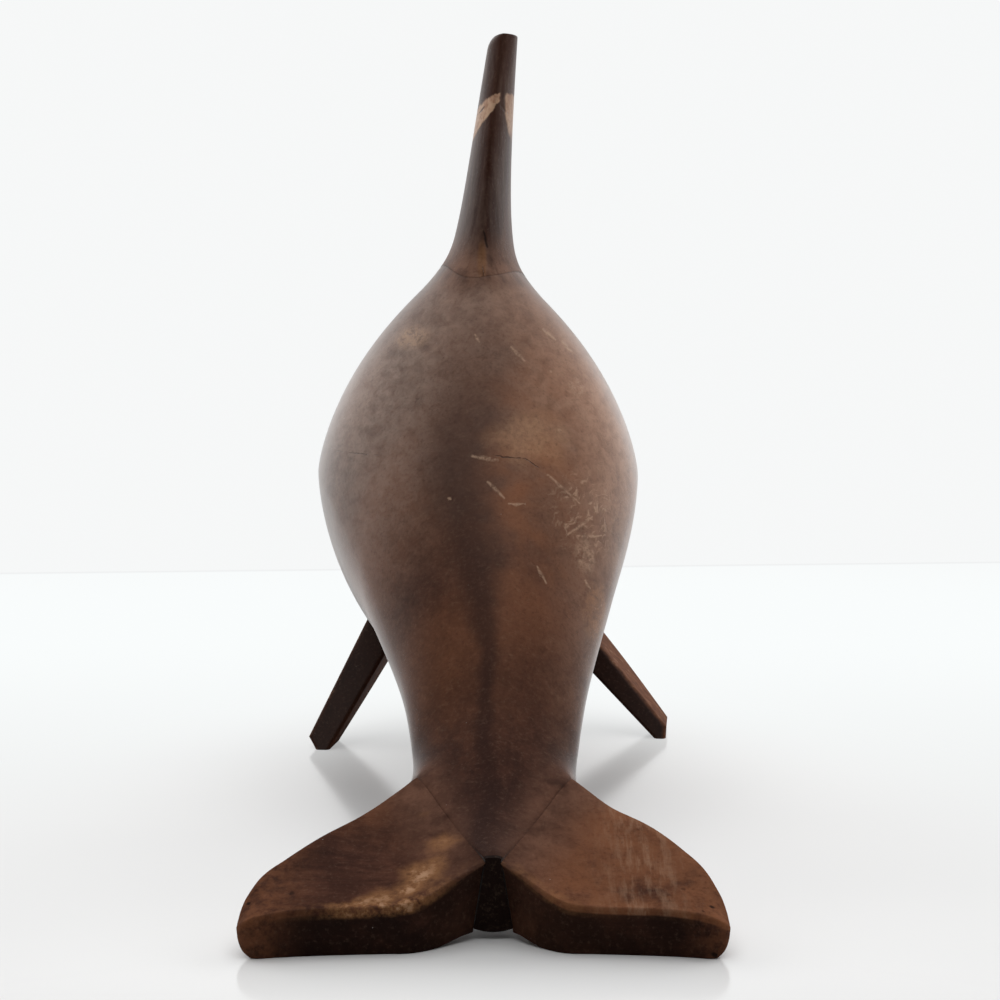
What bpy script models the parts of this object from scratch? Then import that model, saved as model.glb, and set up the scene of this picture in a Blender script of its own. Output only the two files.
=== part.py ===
"""A stout whale carved in dark hardwood, standing on its tail flukes and flipper tips.

The tail points along -Y and the head along +Y, X runs across, and the table is the plane Z = 0.
"Ahead" is a distance forward from the hindmost point of the flukes. The body is one carved
block. The dorsal fin is glued astride its ridge on two dowels, each fluke is glued to a flat
cheek of the tail stock on two dowels that pass through it, and the flippers are let into
mortises. The top of the fin has been broken off and glued back with filler and a pin.
"""

import math
from collections import namedtuple

import bmesh
import bpy
import numpy as np
from mathutils import Matrix, Vector

MM = 0.001

# Overall sizes and clearances
LENGTH = 310 * MM
GLUE_GAP = 0.3 * MM
GROUND_DEPTH = 20 * MM
SPARE = 30 * MM
WELD_DISTANCE = 0.01 * MM

# Trunk: its lines are read at stations, each a share of the length from the tail end. Widths
# and drifts are shares of the half girth, heights are shares of the ridge's height
Station = namedtuple("Station", "share half_width keel flank ridge roof belly drift")
STOCK_START = 0.029 * LENGTH
GIRTH_HALF_WIDTH = 41.4 * MM
RIDGE_HEIGHT = 134.5 * MM
NOSE_LENGTH = 0.1613 * LENGTH
NOSE_BLUNTNESS = 2.3
RIDGE_PINCH = 0.35
RIDGE_PINCH_POWER = 6
TRUNK_RINGS = 34
NOSE_RINGS = 8
SECTION_POINTS = 36
STATIONS = (
    Station(0.03, 0.193, 0.015, 0.060, 0.097, 1.7, 2.0, 0.007),
    Station(0.08, 0.302, 0.024, 0.086, 0.149, 1.6, 2.0, 0.005),
    Station(0.12, 0.374, 0.041, 0.126, 0.205, 1.6, 2.0, 0.002),
    Station(0.17, 0.394, 0.067, 0.178, 0.290, 1.7, 2.0, 0.012),
    Station(0.24, 0.488, 0.126, 0.283, 0.454, 1.8, 2.0, 0.007),
    Station(0.33, 0.700, 0.178, 0.431, 0.677, 1.75, 1.9, -0.027),
    Station(0.41, 0.874, 0.178, 0.528, 0.870, 1.6, 1.8, -0.065),
    Station(0.48, 0.964, 0.141, 0.565, 0.981, 1.46, 1.7, -0.094),
    Station(0.56, 1.0, 0.112, 0.573, 1.0, 1.44, 1.6, -0.104),
    Station(0.65, 0.978, 0.097, 0.543, 0.959, 1.5, 1.65, -0.094),
    Station(0.74, 0.894, 0.104, 0.498, 0.870, 1.75, 1.75, -0.075),
    Station(0.84, 0.773, 0.141, 0.454, 0.751, 1.9, 1.9, -0.058),
    Station(1.0, 0.580, 0.208, 0.416, 0.610, 2.0, 2.0, -0.046),
)

# Dorsal fin, seen from the side: its rear and front edges at the foot and at the top
FIN_TOP_HEIGHT = 185 * MM
FIN_CROWN = 1.6 * MM
FIN_FOOT_DROP = 19 * MM
FIN_REAR_FOOT_AHEAD = 0.429 * LENGTH
FIN_FRONT_FOOT_AHEAD = 0.632 * LENGTH
FIN_REAR_TOP_AHEAD = 0.461 * LENGTH
FIN_FRONT_TOP_AHEAD = 0.506 * LENGTH
FIN_FRONT_BULGE = 5 * MM
FIN_REAR_HOLLOW = 3 * MM
# Seen from behind: it thins towards the top, flares over the ridge and leans to one side
FIN_TOP_THICKNESS = 7 * MM
FIN_TAPER = 0.12
FIN_FLARE = 6 * MM
FIN_LEAN_POWER = 1.4
FIN_FLARE_HEIGHT = 9 * MM
FIN_FLARE_START = RIDGE_HEIGHT - 6.5 * MM
FIN_FOOT_DRIFT = -3.9 * MM
FIN_TOP_DRIFT = 2.4 * MM
FIN_REAR_SHARPNESS = 0.85
FIN_FRONT_ROUNDNESS = 0.5
FIN_RINGS = 18
FIN_POINTS = 20
# The seat grows sideways and up, so this leaves the glue gap square to the sloping skin
SEAT_GROWTH = 0.42 * MM

# The break near the top of the fin
BREAK_BELOW_TOP = 19 * MM
BREAK_SLANT = math.radians(20)
FILLER_THICKNESS = 3 * MM
PIN_DIAMETER = 2 * MM
PIN_LENGTH = 15 * MM
PIN_CLEARANCE = 0.3 * MM

# Dowels between the fin and the body
FIN_DOWEL_DIAMETER = 4 * MM
FIN_DOWEL_BELOW_RIDGE = 14 * MM
FIN_DOWEL_ABOVE_RIDGE = 9 * MM
FIN_DOWEL_SHARES = (0.34, 0.62)
DOWEL_CLEARANCE = 0.3 * MM
DOWEL_SIDES = 16

# Flippers: paddles whose rear edge runs from the tip up, in and forward to the flank. The
# carver's two are not alike: they lean, toe out, thicken and end differently
Flipper = namedtuple(
    "Flipper",
    "side tip_ahead reach lean toe_out tip_thickness root_thickness root_height bevel_height",
)
LEFT_FLIPPER = Flipper(
    side=-1,
    tip_ahead=184 * MM,
    reach=52.4 * MM,
    lean=math.radians(26),
    toe_out=math.radians(-6),
    tip_thickness=6.7 * MM,
    root_thickness=12 * MM,
    root_height=52 * MM,
    bevel_height=2.9 * MM,
)
RIGHT_FLIPPER = Flipper(
    side=1,
    tip_ahead=199 * MM,
    reach=51 * MM,
    lean=math.radians(40.5),
    toe_out=math.radians(6.2),
    tip_thickness=4.8 * MM,
    root_thickness=10.5 * MM,
    root_height=44 * MM,
    bevel_height=3 * MM,
)
FLIPPER_SWEEP = 0.9
FLIPPER_CHORD = 27 * MM
FLIPPER_TIP_CHORD = 15 * MM
FLIPPER_WIDENING = 26 * MM
FLIPPER_EDGE = 1.3 * MM
FLIPPER_BEVEL_SHARE = 0.48
FLIPPER_RINGS = 12
MORTISE_CLEARANCE = 0.3 * MM

# Flukes: lines at stations, each a share of the half span from the middle. Lengths are shares
# of the root's reach forward, heights are shares of the root's height
Lobe = namedtuple("Lobe", "share rear front top_rear top_front under_rear under_front")
FLUKE_ROOT_REACH = 46 * MM
FLUKE_ROOT_HEIGHT = 25.3 * MM
LEFT_HALF_SPAN = 43.8 * MM
RIGHT_HALF_SPAN = 41.1 * MM
LEFT_SWELL = 0.5 * MM
RIGHT_SWELL = 6.8 * MM
SWELL_LIFT = 0.12
SWELL_POWER = 2.4
FLUKE_DISH = 0.9 * MM
FLUKE_EDGE = 1.2 * MM
FLUKE_EDGE_SHARE = 0.2
FLUKE_SHOULDER = 0.94
FLUKE_NOSE_ROUNDING = 0.2
LOBES = (
    Lobe(0.0, 0.217, 1.0, 0.474, 1.0, 0.087, 0.316),
    Lobe(0.12, 0.185, 0.978, 0.455, 0.960, 0.071, 0.316),
    Lobe(0.30, 0.074, 0.891, 0.356, 0.893, -0.040, 0.316),
    Lobe(0.43, 0.061, 0.778, 0.328, 0.846, -0.051, 0.296),
    Lobe(0.57, 0.050, 0.626, 0.324, 0.751, -0.051, 0.237),
    Lobe(0.71, 0.037, 0.478, 0.324, 0.672, -0.051, 0.158),
    Lobe(0.84, 0.017, 0.343, 0.308, 0.565, -0.047, 0.099),
    Lobe(0.93, 0.0, 0.250, 0.277, 0.470, -0.008, 0.079),
    Lobe(1.0, 0.017, 0.150, 0.213, 0.285, 0.087, 0.119),
)
LOBE_RINGS = 17
SIDES = {-1: (LEFT_HALF_SPAN, LEFT_SWELL), 1: (RIGHT_HALF_SPAN, RIGHT_SWELL)}

# Flat cheeks of the stock, on which the flukes are glued, and the dowels through it
CHEEK_REAR_AHEAD = STOCK_START
CHEEK_REAR_HALF = 3.3 * MM
CHEEK_FRONT_AHEAD = 0.1387 * LENGTH
CHEEK_DRIFT = 0.3 * MM
FLUKE_DOWEL_DIAMETER = 4 * MM
FLUKE_DOWEL_BITE = 7 * MM
FLUKE_DOWEL_SHARES = (0.26, 0.54)

# Eyes and mouth, cut shallow in the head; the mouth's angle is measured from the widest line
EYE_AHEAD = 0.832 * LENGTH
EYE_HEIGHT = 66 * MM
EYE_DIAMETER = 6 * MM
EYE_DEPTH = 1.2 * MM
MOUTH_CORNER_AHEAD = 0.871 * LENGTH
MOUTH_DROOP = 0.4
MOUTH_GROOVE = 1.4 * MM
MOUTH_POINTS = 15

WOOD_DARK = (0.055, 0.024, 0.016)
WOOD_WARM = (0.085, 0.040, 0.024)
WOOD_PALE = (0.42, 0.27, 0.15)
FILLER_COLOUR = (0.46, 0.30, 0.20)


def clear_scene():
    for obj in list(bpy.data.objects):
        bpy.data.objects.remove(obj, do_unlink=True)


def new_collection(name):
    collection = bpy.data.collections.new(name)
    bpy.context.scene.collection.children.link(collection)
    return collection


def smooth_value(places, values, at):
    """The value at a place on the smooth curve that passes through the given values."""
    last = len(places) - 1
    left = int(np.clip(np.searchsorted(places, at) - 1, 0, last - 1))
    slopes = []
    for k in (left, left + 1):
        low = max(k - 1, 0)
        high = min(k + 1, last)
        slopes.append((values[high] - values[low]) / (places[high] - places[low]))
    width = places[left + 1] - places[left]
    u = (at - places[left]) / width
    rise = values[left + 1] - values[left]
    a = slopes[0] * width - rise
    b = rise - slopes[1] * width
    return values[left] + u * rise + u * (1 - u) * ((1 - u) * a + u * b)


def read_table(table, at):
    """A row of the table at any share along it, between its own rows."""
    places = [row.share for row in table]
    columns = list(zip(*table))
    return type(table[0])(at, *[smooth_value(places, column, at) for column in columns[1:]])


def along(ahead):
    """The Y coordinate of a distance forward from the tail end."""
    return ahead - LENGTH / 2


def signed_power(value, power):
    return math.copysign(abs(value) ** power, value)


def nose_rounding(ahead):
    """How much of its full size the head keeps at this distance from the tail end."""
    into = max(0.0, ahead - (LENGTH - NOSE_LENGTH)) / NOSE_LENGTH
    return (1 - min(into, 1.0) ** NOSE_BLUNTNESS) ** (1 / NOSE_BLUNTNESS)


def trunk_lines(ahead):
    """The trunk's lines at a distance from the tail end, at their full size."""
    row = read_table(STATIONS, ahead / LENGTH)
    return row._replace(
        half_width=row.half_width * GIRTH_HALF_WIDTH,
        keel=row.keel * RIDGE_HEIGHT,
        flank=row.flank * RIDGE_HEIGHT,
        ridge=row.ridge * RIDGE_HEIGHT,
        drift=row.drift * GIRTH_HALF_WIDTH,
    )


def trunk_point(ahead, angle, grow=0.0):
    """A point on the trunk's skin; angle 0 is its +X side and a quarter turn is the ridge."""
    lines = trunk_lines(ahead)
    shrink = nose_rounding(ahead)
    up = math.sin(angle)
    power = lines.roof if up >= 0 else lines.belly
    reach = (lines.ridge - lines.flank) if up >= 0 else (lines.flank - lines.keel)
    pinch = 1 - RIDGE_PINCH * max(up, 0.0) ** RIDGE_PINCH_POWER
    x = pinch * (lines.half_width * shrink + grow) * signed_power(math.cos(angle), 2 / power)
    z = (reach * shrink + grow) * signed_power(up, 2 / power)
    return Vector((lines.drift + x, along(ahead), lines.flank + z))


def trunk_rings():
    """Distances from the tail end at which the trunk has a ring of points."""
    trunk = list(np.linspace(STOCK_START, LENGTH - NOSE_LENGTH, TRUNK_RINGS))
    turns = np.linspace(0, math.pi / 2, NOSE_RINGS + 2)[1:-1]
    return trunk + [LENGTH - NOSE_LENGTH * (1 - math.sin(turn)) for turn in turns]


def loft(name, rings, collection, tip=None):
    """A closed solid through rings that all have the same number of points.

    Its last ring closes on the tip, or flat where no tip is given.
    """
    mesh = bpy.data.meshes.new(name)
    shape = bmesh.new()
    rows = [[shape.verts.new(point) for point in ring] for ring in rings]
    for row, following in zip(rows, rows[1:]):
        for k in range(len(row)):
            j = (k + 1) % len(row)
            shape.faces.new((row[k], row[j], following[j], following[k]))
    for row, apex in ((rows[0], None), (rows[-1], tip)):
        centre = sum((vert.co for vert in row), Vector()) / len(row)
        pole = shape.verts.new(apex or centre)
        for k in range(len(row)):
            shape.faces.new((row[k], row[(k + 1) % len(row)], pole))
    bmesh.ops.recalc_face_normals(shape, faces=shape.faces)
    shape.to_mesh(mesh)
    shape.free()
    obj = bpy.data.objects.new(name, mesh)
    collection.objects.link(obj)
    return obj


def box(name, size, matrix, collection):
    """A box of the given size about the origin of the matrix."""
    mesh = bpy.data.meshes.new(name)
    shape = bmesh.new()
    bmesh.ops.create_cube(shape, size=1.0)
    bmesh.ops.scale(shape, vec=size, verts=shape.verts)
    shape.to_mesh(mesh)
    shape.free()
    obj = bpy.data.objects.new(name, mesh)
    obj.matrix_world = matrix
    collection.objects.link(obj)
    return obj


def rod(name, start, end, diameter, collection):
    """A round rod between two points."""
    mesh = bpy.data.meshes.new(name)
    shape = bmesh.new()
    run = Vector(end) - Vector(start)
    bmesh.ops.create_cone(
        shape,
        cap_ends=True,
        segments=DOWEL_SIDES,
        radius1=diameter / 2,
        radius2=diameter / 2,
        depth=run.length,
    )
    shape.to_mesh(mesh)
    shape.free()
    obj = bpy.data.objects.new(name, mesh)
    obj.matrix_world = Matrix.Translation((Vector(start) + Vector(end)) / 2) @ (
        run.to_track_quat("Z", "Y").to_matrix().to_4x4()
    )
    collection.objects.link(obj)
    return obj


def as_cutter(obj):
    obj.hide_render = True
    obj.display_type = "WIRE"
    return obj


def combine(obj, other, operation):
    modifier = obj.modifiers.new(f"{operation.lower()} {other.name}", "BOOLEAN")
    modifier.operation = operation
    modifier.object = other


def cut(obj, cutter):
    combine(obj, as_cutter(cutter), "DIFFERENCE")


def wood(name, colour, roughness):
    material = bpy.data.materials.new(name)
    material.use_nodes = True
    shader = material.node_tree.nodes["Principled BSDF"]
    shader.inputs["Base Color"].default_value = (*colour, 1.0)
    shader.inputs["Roughness"].default_value = roughness
    shader.inputs["Metallic"].default_value = 0.0
    return material


def finish(obj, material):
    obj.data.materials.append(material)
    obj.data.shade_smooth()
    obj.data.set_sharp_from_angle(angle=math.radians(40))


def trunk(name, collection, grow=0.0):
    angles = np.linspace(0, 2 * math.pi, SECTION_POINTS, endpoint=False)
    rings = [[trunk_point(ahead, angle, grow) for angle in angles] for ahead in trunk_rings()]
    return loft(name, rings, collection, tip=trunk_point(LENGTH, 0.0))


# Dorsal fin


def fin_climb(height):
    """How far up the fin a height is: 0 at its foot and 1 at its top."""
    foot = RIDGE_HEIGHT - FIN_FOOT_DROP
    return (height - foot) / (FIN_TOP_HEIGHT - foot)


def fin_drift(height):
    """The X of the fin's middle plane at a height."""
    lean = fin_climb(height) ** FIN_LEAN_POWER
    return FIN_FOOT_DRIFT + lean * (FIN_TOP_DRIFT - FIN_FOOT_DRIFT)


def fin_section(height):
    """One level section of the fin: its outline runs up one face and back along the other."""
    climb = fin_climb(height)
    bow = math.sin(math.pi * min(max(climb, 0.0), 1.0))
    rear = FIN_REAR_FOOT_AHEAD + climb * (FIN_REAR_TOP_AHEAD - FIN_REAR_FOOT_AHEAD)
    front = FIN_FRONT_FOOT_AHEAD + climb * (FIN_FRONT_TOP_AHEAD - FIN_FRONT_FOOT_AHEAD)
    rear += bow * FIN_REAR_HOLLOW
    front += bow * FIN_FRONT_BULGE
    drift = fin_drift(height)
    thickness = FIN_TOP_THICKNESS + FIN_TAPER * (FIN_TOP_HEIGHT - height)
    thickness += FIN_FLARE * math.exp((FIN_FLARE_START - height) / FIN_FLARE_HEIGHT)
    widest = FIN_REAR_SHARPNESS / (FIN_REAR_SHARPNESS + FIN_FRONT_ROUNDNESS)
    full = widest**FIN_REAR_SHARPNESS * (1 - widest) ** FIN_FRONT_ROUNDNESS
    points = []
    for turn in np.linspace(0, 2 * math.pi, FIN_POINTS, endpoint=False):
        share = (1 - math.cos(turn)) / 2
        half = share**FIN_REAR_SHARPNESS * (1 - share) ** FIN_FRONT_ROUNDNESS / full
        x = drift + math.copysign(half * thickness / 2, math.sin(turn))
        points.append(Vector((x, along(rear + share * (front - rear)), height)))
    return points


def fin_blank(name, collection):
    """The whole fin as carved, its foot sunk in the ridge and its top rounded over."""
    foot = RIDGE_HEIGHT - FIN_FOOT_DROP
    shoulder = FIN_TOP_HEIGHT - FIN_CROWN
    rings = [fin_section(z) for z in np.linspace(foot, shoulder, FIN_RINGS)]
    for turn in (math.radians(45), math.radians(90)):
        ring = fin_section(shoulder + FIN_CROWN * math.sin(turn))
        middle = sum(ring, Vector()) / len(ring)
        inset = FIN_CROWN * (1 - math.cos(turn))
        for point in ring:
            point.x -= (point.x - middle.x) * inset / (FIN_TOP_THICKNESS / 2)
            point.y -= math.copysign(inset, point.y - middle.y)
        rings.append(ring)
    return loft(name, rings, collection)


def fin_middle(height):
    section = fin_section(height)
    return sum(section, Vector()) / len(section)


def break_frame():
    """The middle of the break in the fin, with its plane's normal along the local Z."""
    middle = fin_middle(FIN_TOP_HEIGHT - BREAK_BELOW_TOP)
    return Matrix.Translation(middle) @ Matrix.Rotation(-BREAK_SLANT, 4, "Y")


def slab(name, low, high, frame, collection):
    """A wide box between two levels of the frame's local Z."""
    size = (LENGTH, LENGTH, high - low)
    return box(name, size, frame @ Matrix.Translation((0, 0, (low + high) / 2)), collection)


def make_fin(parts, cutters, body):
    frame = break_frame()
    half = FILLER_THICKNESS / 2
    far = FIN_TOP_HEIGHT
    fin = fin_blank("dorsal_fin", parts)
    cut(fin, trunk("ridge_seat", cutters, grow=SEAT_GROWTH))
    cut(fin, slab("above_break", -half - GLUE_GAP, far, frame, cutters))
    tip = fin_blank("fin_tip", parts)
    cut(tip, slab("below_break", -far, half + GLUE_GAP, frame, cutters))
    filler = fin_blank("fin_tip_filler", parts)
    cut(filler, slab("over_filler", half, far, frame, cutters))
    cut(filler, slab("under_filler", -far, -half, frame, cutters))
    # The pin follows the middle of the fin, so it stays inside the thin blade
    start = fin_middle(FIN_TOP_HEIGHT - BREAK_BELOW_TOP - PIN_LENGTH / 2)
    end = fin_middle(FIN_TOP_HEIGHT - BREAK_BELOW_TOP + PIN_LENGTH / 2)
    pin = rod("fin_tip_pin", start, end, PIN_DIAMETER, parts)
    gap = (end - start).normalized() * GLUE_GAP
    hole = rod("pin_hole", start - gap, end + gap, PIN_DIAMETER + 2 * PIN_CLEARANCE, cutters)
    for piece in (fin, tip, filler):
        cut(piece, hole)
    dowels = []
    for place, share in zip(("rear", "front"), FIN_DOWEL_SHARES):
        ahead = FIN_REAR_FOOT_AHEAD + share * (FIN_FRONT_FOOT_AHEAD - FIN_REAR_FOOT_AHEAD)
        ridge = trunk_lines(ahead).ridge
        low = Vector((fin_drift(ridge), along(ahead), ridge - FIN_DOWEL_BELOW_RIDGE))
        high = Vector((low.x, low.y, ridge + FIN_DOWEL_ABOVE_RIDGE))
        gap = Vector((0, 0, GLUE_GAP))
        name = f"fin_dowel_{place}"
        dowels.append(rod(name, low, high, FIN_DOWEL_DIAMETER, parts))
        bore = FIN_DOWEL_DIAMETER + 2 * DOWEL_CLEARANCE
        hole = rod(f"{name}_hole", low - gap, high + gap, bore, cutters)
        cut(body, hole)
        cut(fin, hole)
    return fin, tip, filler, pin, dowels


# Flippers


def flipper_section(flipper, height, grow=0.0):
    """A level section of a flipper: a rectangle with rounded corners, turned to its toe."""
    climb = height / flipper.root_height
    turn = math.pi / 2 * min(height / FLIPPER_WIDENING, 1.0)
    chord = FLIPPER_TIP_CHORD + math.sin(turn) * (FLIPPER_CHORD - FLIPPER_TIP_CHORD)
    thickness = flipper.tip_thickness
    thickness += climb * (flipper.root_thickness - flipper.tip_thickness)
    aside = grow / math.cos(flipper.lean)
    behind = grow * math.hypot(1, FLIPPER_SWEEP)
    far = thickness / math.cos(flipper.lean)
    near = FLIPPER_BEVEL_SHARE * far * max(0.0, 1 - height / flipper.bevel_height)
    forward = Vector((flipper.side * math.sin(flipper.toe_out), math.cos(flipper.toe_out), 0))
    inward = Vector((-flipper.side * math.cos(flipper.toe_out), math.sin(flipper.toe_out), 0))
    corner = Vector(
        (
            flipper.side * (flipper.reach - math.tan(flipper.lean) * height),
            along(flipper.tip_ahead + FLIPPER_SWEEP * height),
            height,
        )
    )
    round_off = FLIPPER_EDGE + grow
    middles = (
        (round_off - behind, near - aside + round_off),
        (chord + behind - round_off, near - aside + round_off),
        (chord + behind - round_off, far + aside - round_off),
        (round_off - behind, far + aside - round_off),
    )
    points = []
    for k, (ahead, across) in enumerate(middles):
        for turn in np.linspace(math.pi + k * math.pi / 2, math.pi + (k + 1) * math.pi / 2, 3):
            step = ahead + round_off * math.cos(turn)
            side_step = across + round_off * math.sin(turn)
            points.append(corner + forward * step + inward * side_step)
    return points


def flipper_loft(name, flipper, collection, grow=0.0):
    """A paddle that stands on its tip, its foot flat on the table and its root in the flank."""
    bevel = np.linspace(0, flipper.bevel_height, 3)
    rest = np.linspace(flipper.bevel_height, flipper.root_height + grow, FLIPPER_RINGS)
    heights = [*bevel, *rest[1:]]
    return loft(name, [flipper_section(flipper, z, grow) for z in heights], collection)


def make_flipper(name, flipper, parts, cutters, body):
    paddle = flipper_loft(name, flipper, parts)
    cut(body, flipper_loft(f"{name}_mortise", flipper, cutters, MORTISE_CLEARANCE))
    return paddle


# Flukes


def lobe_lines(share):
    """A fluke's lines at a share of its half span, at their full size."""
    row = read_table(LOBES, share)
    return row._replace(
        rear=row.rear * FLUKE_ROOT_REACH,
        front=row.front * FLUKE_ROOT_REACH,
        top_rear=row.top_rear * FLUKE_ROOT_HEIGHT,
        top_front=row.top_front * FLUKE_ROOT_HEIGHT,
        under_rear=row.under_rear * FLUKE_ROOT_HEIGHT,
        under_front=row.under_front * FLUKE_ROOT_HEIGHT,
    )


def lobe_section(share, side):
    """A fore-and-aft section of a fluke: a blunt rear face, a dished top and a round front."""
    lines = lobe_lines(share)
    span, swell = SIDES[side]
    swell *= math.sin(math.pi * share**SWELL_POWER)
    lines = lines._replace(
        front=lines.front + swell, top_front=lines.top_front + SWELL_LIFT * swell
    )
    x = side * share * span
    length = lines.front - lines.rear
    edge = min(FLUKE_EDGE, length * FLUKE_EDGE_SHARE)
    shoulder = lines.rear + length * FLUKE_SHOULDER
    middle = (lines.top_front + lines.under_front) / 2
    eased = FLUKE_NOSE_ROUNDING * (lines.top_front - middle)
    outline = [
        (lines.rear + edge / 2, lines.under_rear),
        (lines.rear, lines.under_rear + edge),
        (lines.rear, lines.top_rear - edge),
        (lines.rear + edge / 2, lines.top_rear),
    ]
    for part in (0.25, 0.5, 0.75):
        level = lines.top_rear + part * (lines.top_front - lines.top_rear)
        dish = FLUKE_DISH * math.sin(math.pi * part)
        outline.append((lines.rear + part * (shoulder - lines.rear), level - dish))
    outline += [
        (shoulder, lines.top_front - eased),
        (lines.front, middle),
        (shoulder, lines.under_front + eased),
    ]
    for part in (0.75, 0.5, 0.25):
        level = lines.under_rear + part * (lines.under_front - lines.under_rear)
        outline.append((lines.rear + part * (shoulder - lines.rear), level))
    return [Vector((x, along(ahead), height)) for ahead, height in outline]


def lobe(name, side, collection):
    shares = np.linspace(0, 1, LOBE_RINGS)
    return loft(name, [lobe_section(share, side) for share in shares], collection)


def cheek_slope():
    """How fast the cheeks part going forward; they meet the flanks where they end."""
    front_half = trunk_lines(CHEEK_FRONT_AHEAD).half_width
    return (front_half - CHEEK_REAR_HALF) / (CHEEK_FRONT_AHEAD - CHEEK_REAR_AHEAD)


def cheek_half(ahead):
    """Half the distance between the two cheeks at a distance from the tail end."""
    return CHEEK_REAR_HALF + cheek_slope() * (ahead - CHEEK_REAR_AHEAD)


def cheek_frame(side):
    """A frame on the cheek whose local X points out of the stock, square to the cheek."""
    turn = math.atan(cheek_slope())
    middle = (CHEEK_REAR_AHEAD + CHEEK_FRONT_AHEAD) / 2
    place = Vector((CHEEK_DRIFT + side * cheek_half(middle), along(middle), 0))
    if side > 0:
        return Matrix.Translation(place) @ Matrix.Rotation(-turn, 4, "Z")
    return Matrix.Translation(place) @ Matrix.Rotation(math.pi + turn, 4, "Z")


def cheek_block(name, side, inward, offset, collection):
    """A block on one side of the cheek, its face at the given offset outwards from it."""
    size = Vector((2 * SPARE, 4 * SPARE, 4 * SPARE))
    shift = offset - size.x / 2 if inward else offset + size.x / 2
    return box(name, size, cheek_frame(side) @ Matrix.Translation((shift, 0, 0)), collection)


def make_flukes(parts, cutters, body, ground):
    flukes = []
    for name, side in (("left_fluke", -1), ("right_fluke", 1)):
        fluke = lobe(name, side, parts)
        cut(fluke, cheek_block(f"{name}_seat", side, True, GLUE_GAP, cutters))
        cut(fluke, ground)
        trimmer = cheek_block(f"{name}_cheek", side, False, 0.0, cutters)
        limit = along(CHEEK_FRONT_AHEAD)
        ahead_of_cheek = box(
            f"{name}_limit",
            (8 * SPARE, 4 * SPARE, 8 * SPARE),
            Matrix.Translation((0, limit + 2 * SPARE, 0)),
            cutters,
        )
        cut(trimmer, ahead_of_cheek)
        cut(body, trimmer)
        flukes.append(fluke)
    dowels = []
    for place, share in zip(("rear", "front"), FLUKE_DOWEL_SHARES):
        ahead = CHEEK_REAR_AHEAD + share * (CHEEK_FRONT_AHEAD - CHEEK_REAR_AHEAD)
        reach = cheek_half(ahead) + FLUKE_DOWEL_BITE
        lines = lobe_lines(reach / LEFT_HALF_SPAN)
        part = (ahead - lines.rear) / (lines.front - lines.rear)
        top = lines.top_rear + part * (lines.top_front - lines.top_rear)
        under = lines.under_rear + part * (lines.under_front - lines.under_rear)
        height = (top + under) / 2
        name = f"fluke_dowel_{place}"
        middle = Vector((CHEEK_DRIFT, along(ahead), height))
        half = Vector((reach, 0, 0))
        gap = Vector((GLUE_GAP, 0, 0))
        dowels.append(rod(name, middle - half, middle + half, FLUKE_DOWEL_DIAMETER, parts))
        bore = FLUKE_DOWEL_DIAMETER + 2 * DOWEL_CLEARANCE
        hole = rod(f"{name}_hole", middle - half - gap, middle + half + gap, bore, cutters)
        for piece in (body, *flukes):
            cut(piece, hole)
    return flukes, dowels


def flank_place(ahead, height, side):
    """The point of the skin at a height, on one side of the head."""
    lines = trunk_lines(ahead)
    shrink = nose_rounding(ahead)
    above = height >= lines.flank
    power = lines.roof if above else lines.belly
    reach = (lines.ridge - lines.flank) if above else (lines.flank - lines.keel)
    level = min(abs(height - lines.flank) / (reach * shrink), 1.0)
    out = lines.half_width * shrink * (1 - level**power) ** (1 / power)
    return Vector((lines.drift + side * out, along(ahead), height))


def make_eyes(cutters, body):
    """Shallow round hollows for the eyes."""
    radius = (EYE_DIAMETER**2 / 4 + EYE_DEPTH**2) / (2 * EYE_DEPTH)
    for name, side in (("left_eye", -1), ("right_eye", 1)):
        place = flank_place(EYE_AHEAD, EYE_HEIGHT, side)
        nearby = flank_place(EYE_AHEAD + 2 * MM, EYE_HEIGHT, side)
        outward = Vector((side * (nearby.y - place.y), -side * (nearby.x - place.x), 0))
        mesh = bpy.data.meshes.new(name)
        shape = bmesh.new()
        bmesh.ops.create_uvsphere(shape, u_segments=24, v_segments=16, radius=radius)
        shape.to_mesh(mesh)
        shape.free()
        ball = bpy.data.objects.new(name, mesh)
        ball.location = place + outward.normalized() * (radius - EYE_DEPTH)
        cutters.objects.link(ball)
        cut(body, ball)


def make_mouth(cutters, body):
    """A fine groove for the mouth, from one corner round the nose to the other."""
    curve = bpy.data.curves.new("mouth", "CURVE")
    curve.dimensions = "3D"
    curve.bevel_depth = MOUTH_GROOVE / 2
    curve.bevel_resolution = 1
    curve.use_fill_caps = True
    spline = curve.splines.new("POLY")
    spline.points.add(MOUTH_POINTS - 1)
    turns = np.linspace(-math.pi / 2, math.pi / 2, MOUTH_POINTS)
    for point, turn in zip(spline.points, turns):
        ahead = MOUTH_CORNER_AHEAD + (LENGTH - MOUTH_CORNER_AHEAD) * math.cos(turn)
        droop = MOUTH_DROOP * math.cos(turn)
        angle = -droop if turn > 0 else math.pi + droop
        point.co = (*trunk_point(ahead, angle), 1.0)
    guide = bpy.data.objects.new("mouth_guide", curve)
    cutters.objects.link(guide)
    bpy.context.view_layer.update()
    graph = bpy.context.evaluated_depsgraph_get()
    mesh = bpy.data.meshes.new_from_object(guide.evaluated_get(graph))
    bpy.data.objects.remove(guide, do_unlink=True)
    shape = bmesh.new()
    shape.from_mesh(mesh)
    bmesh.ops.remove_doubles(shape, verts=shape.verts, dist=WELD_DISTANCE)
    bmesh.ops.recalc_face_normals(shape, faces=shape.faces)
    shape.to_mesh(mesh)
    shape.free()
    groove = bpy.data.objects.new("mouth_groove", mesh)
    cutters.objects.link(groove)
    cut(body, groove)


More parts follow.
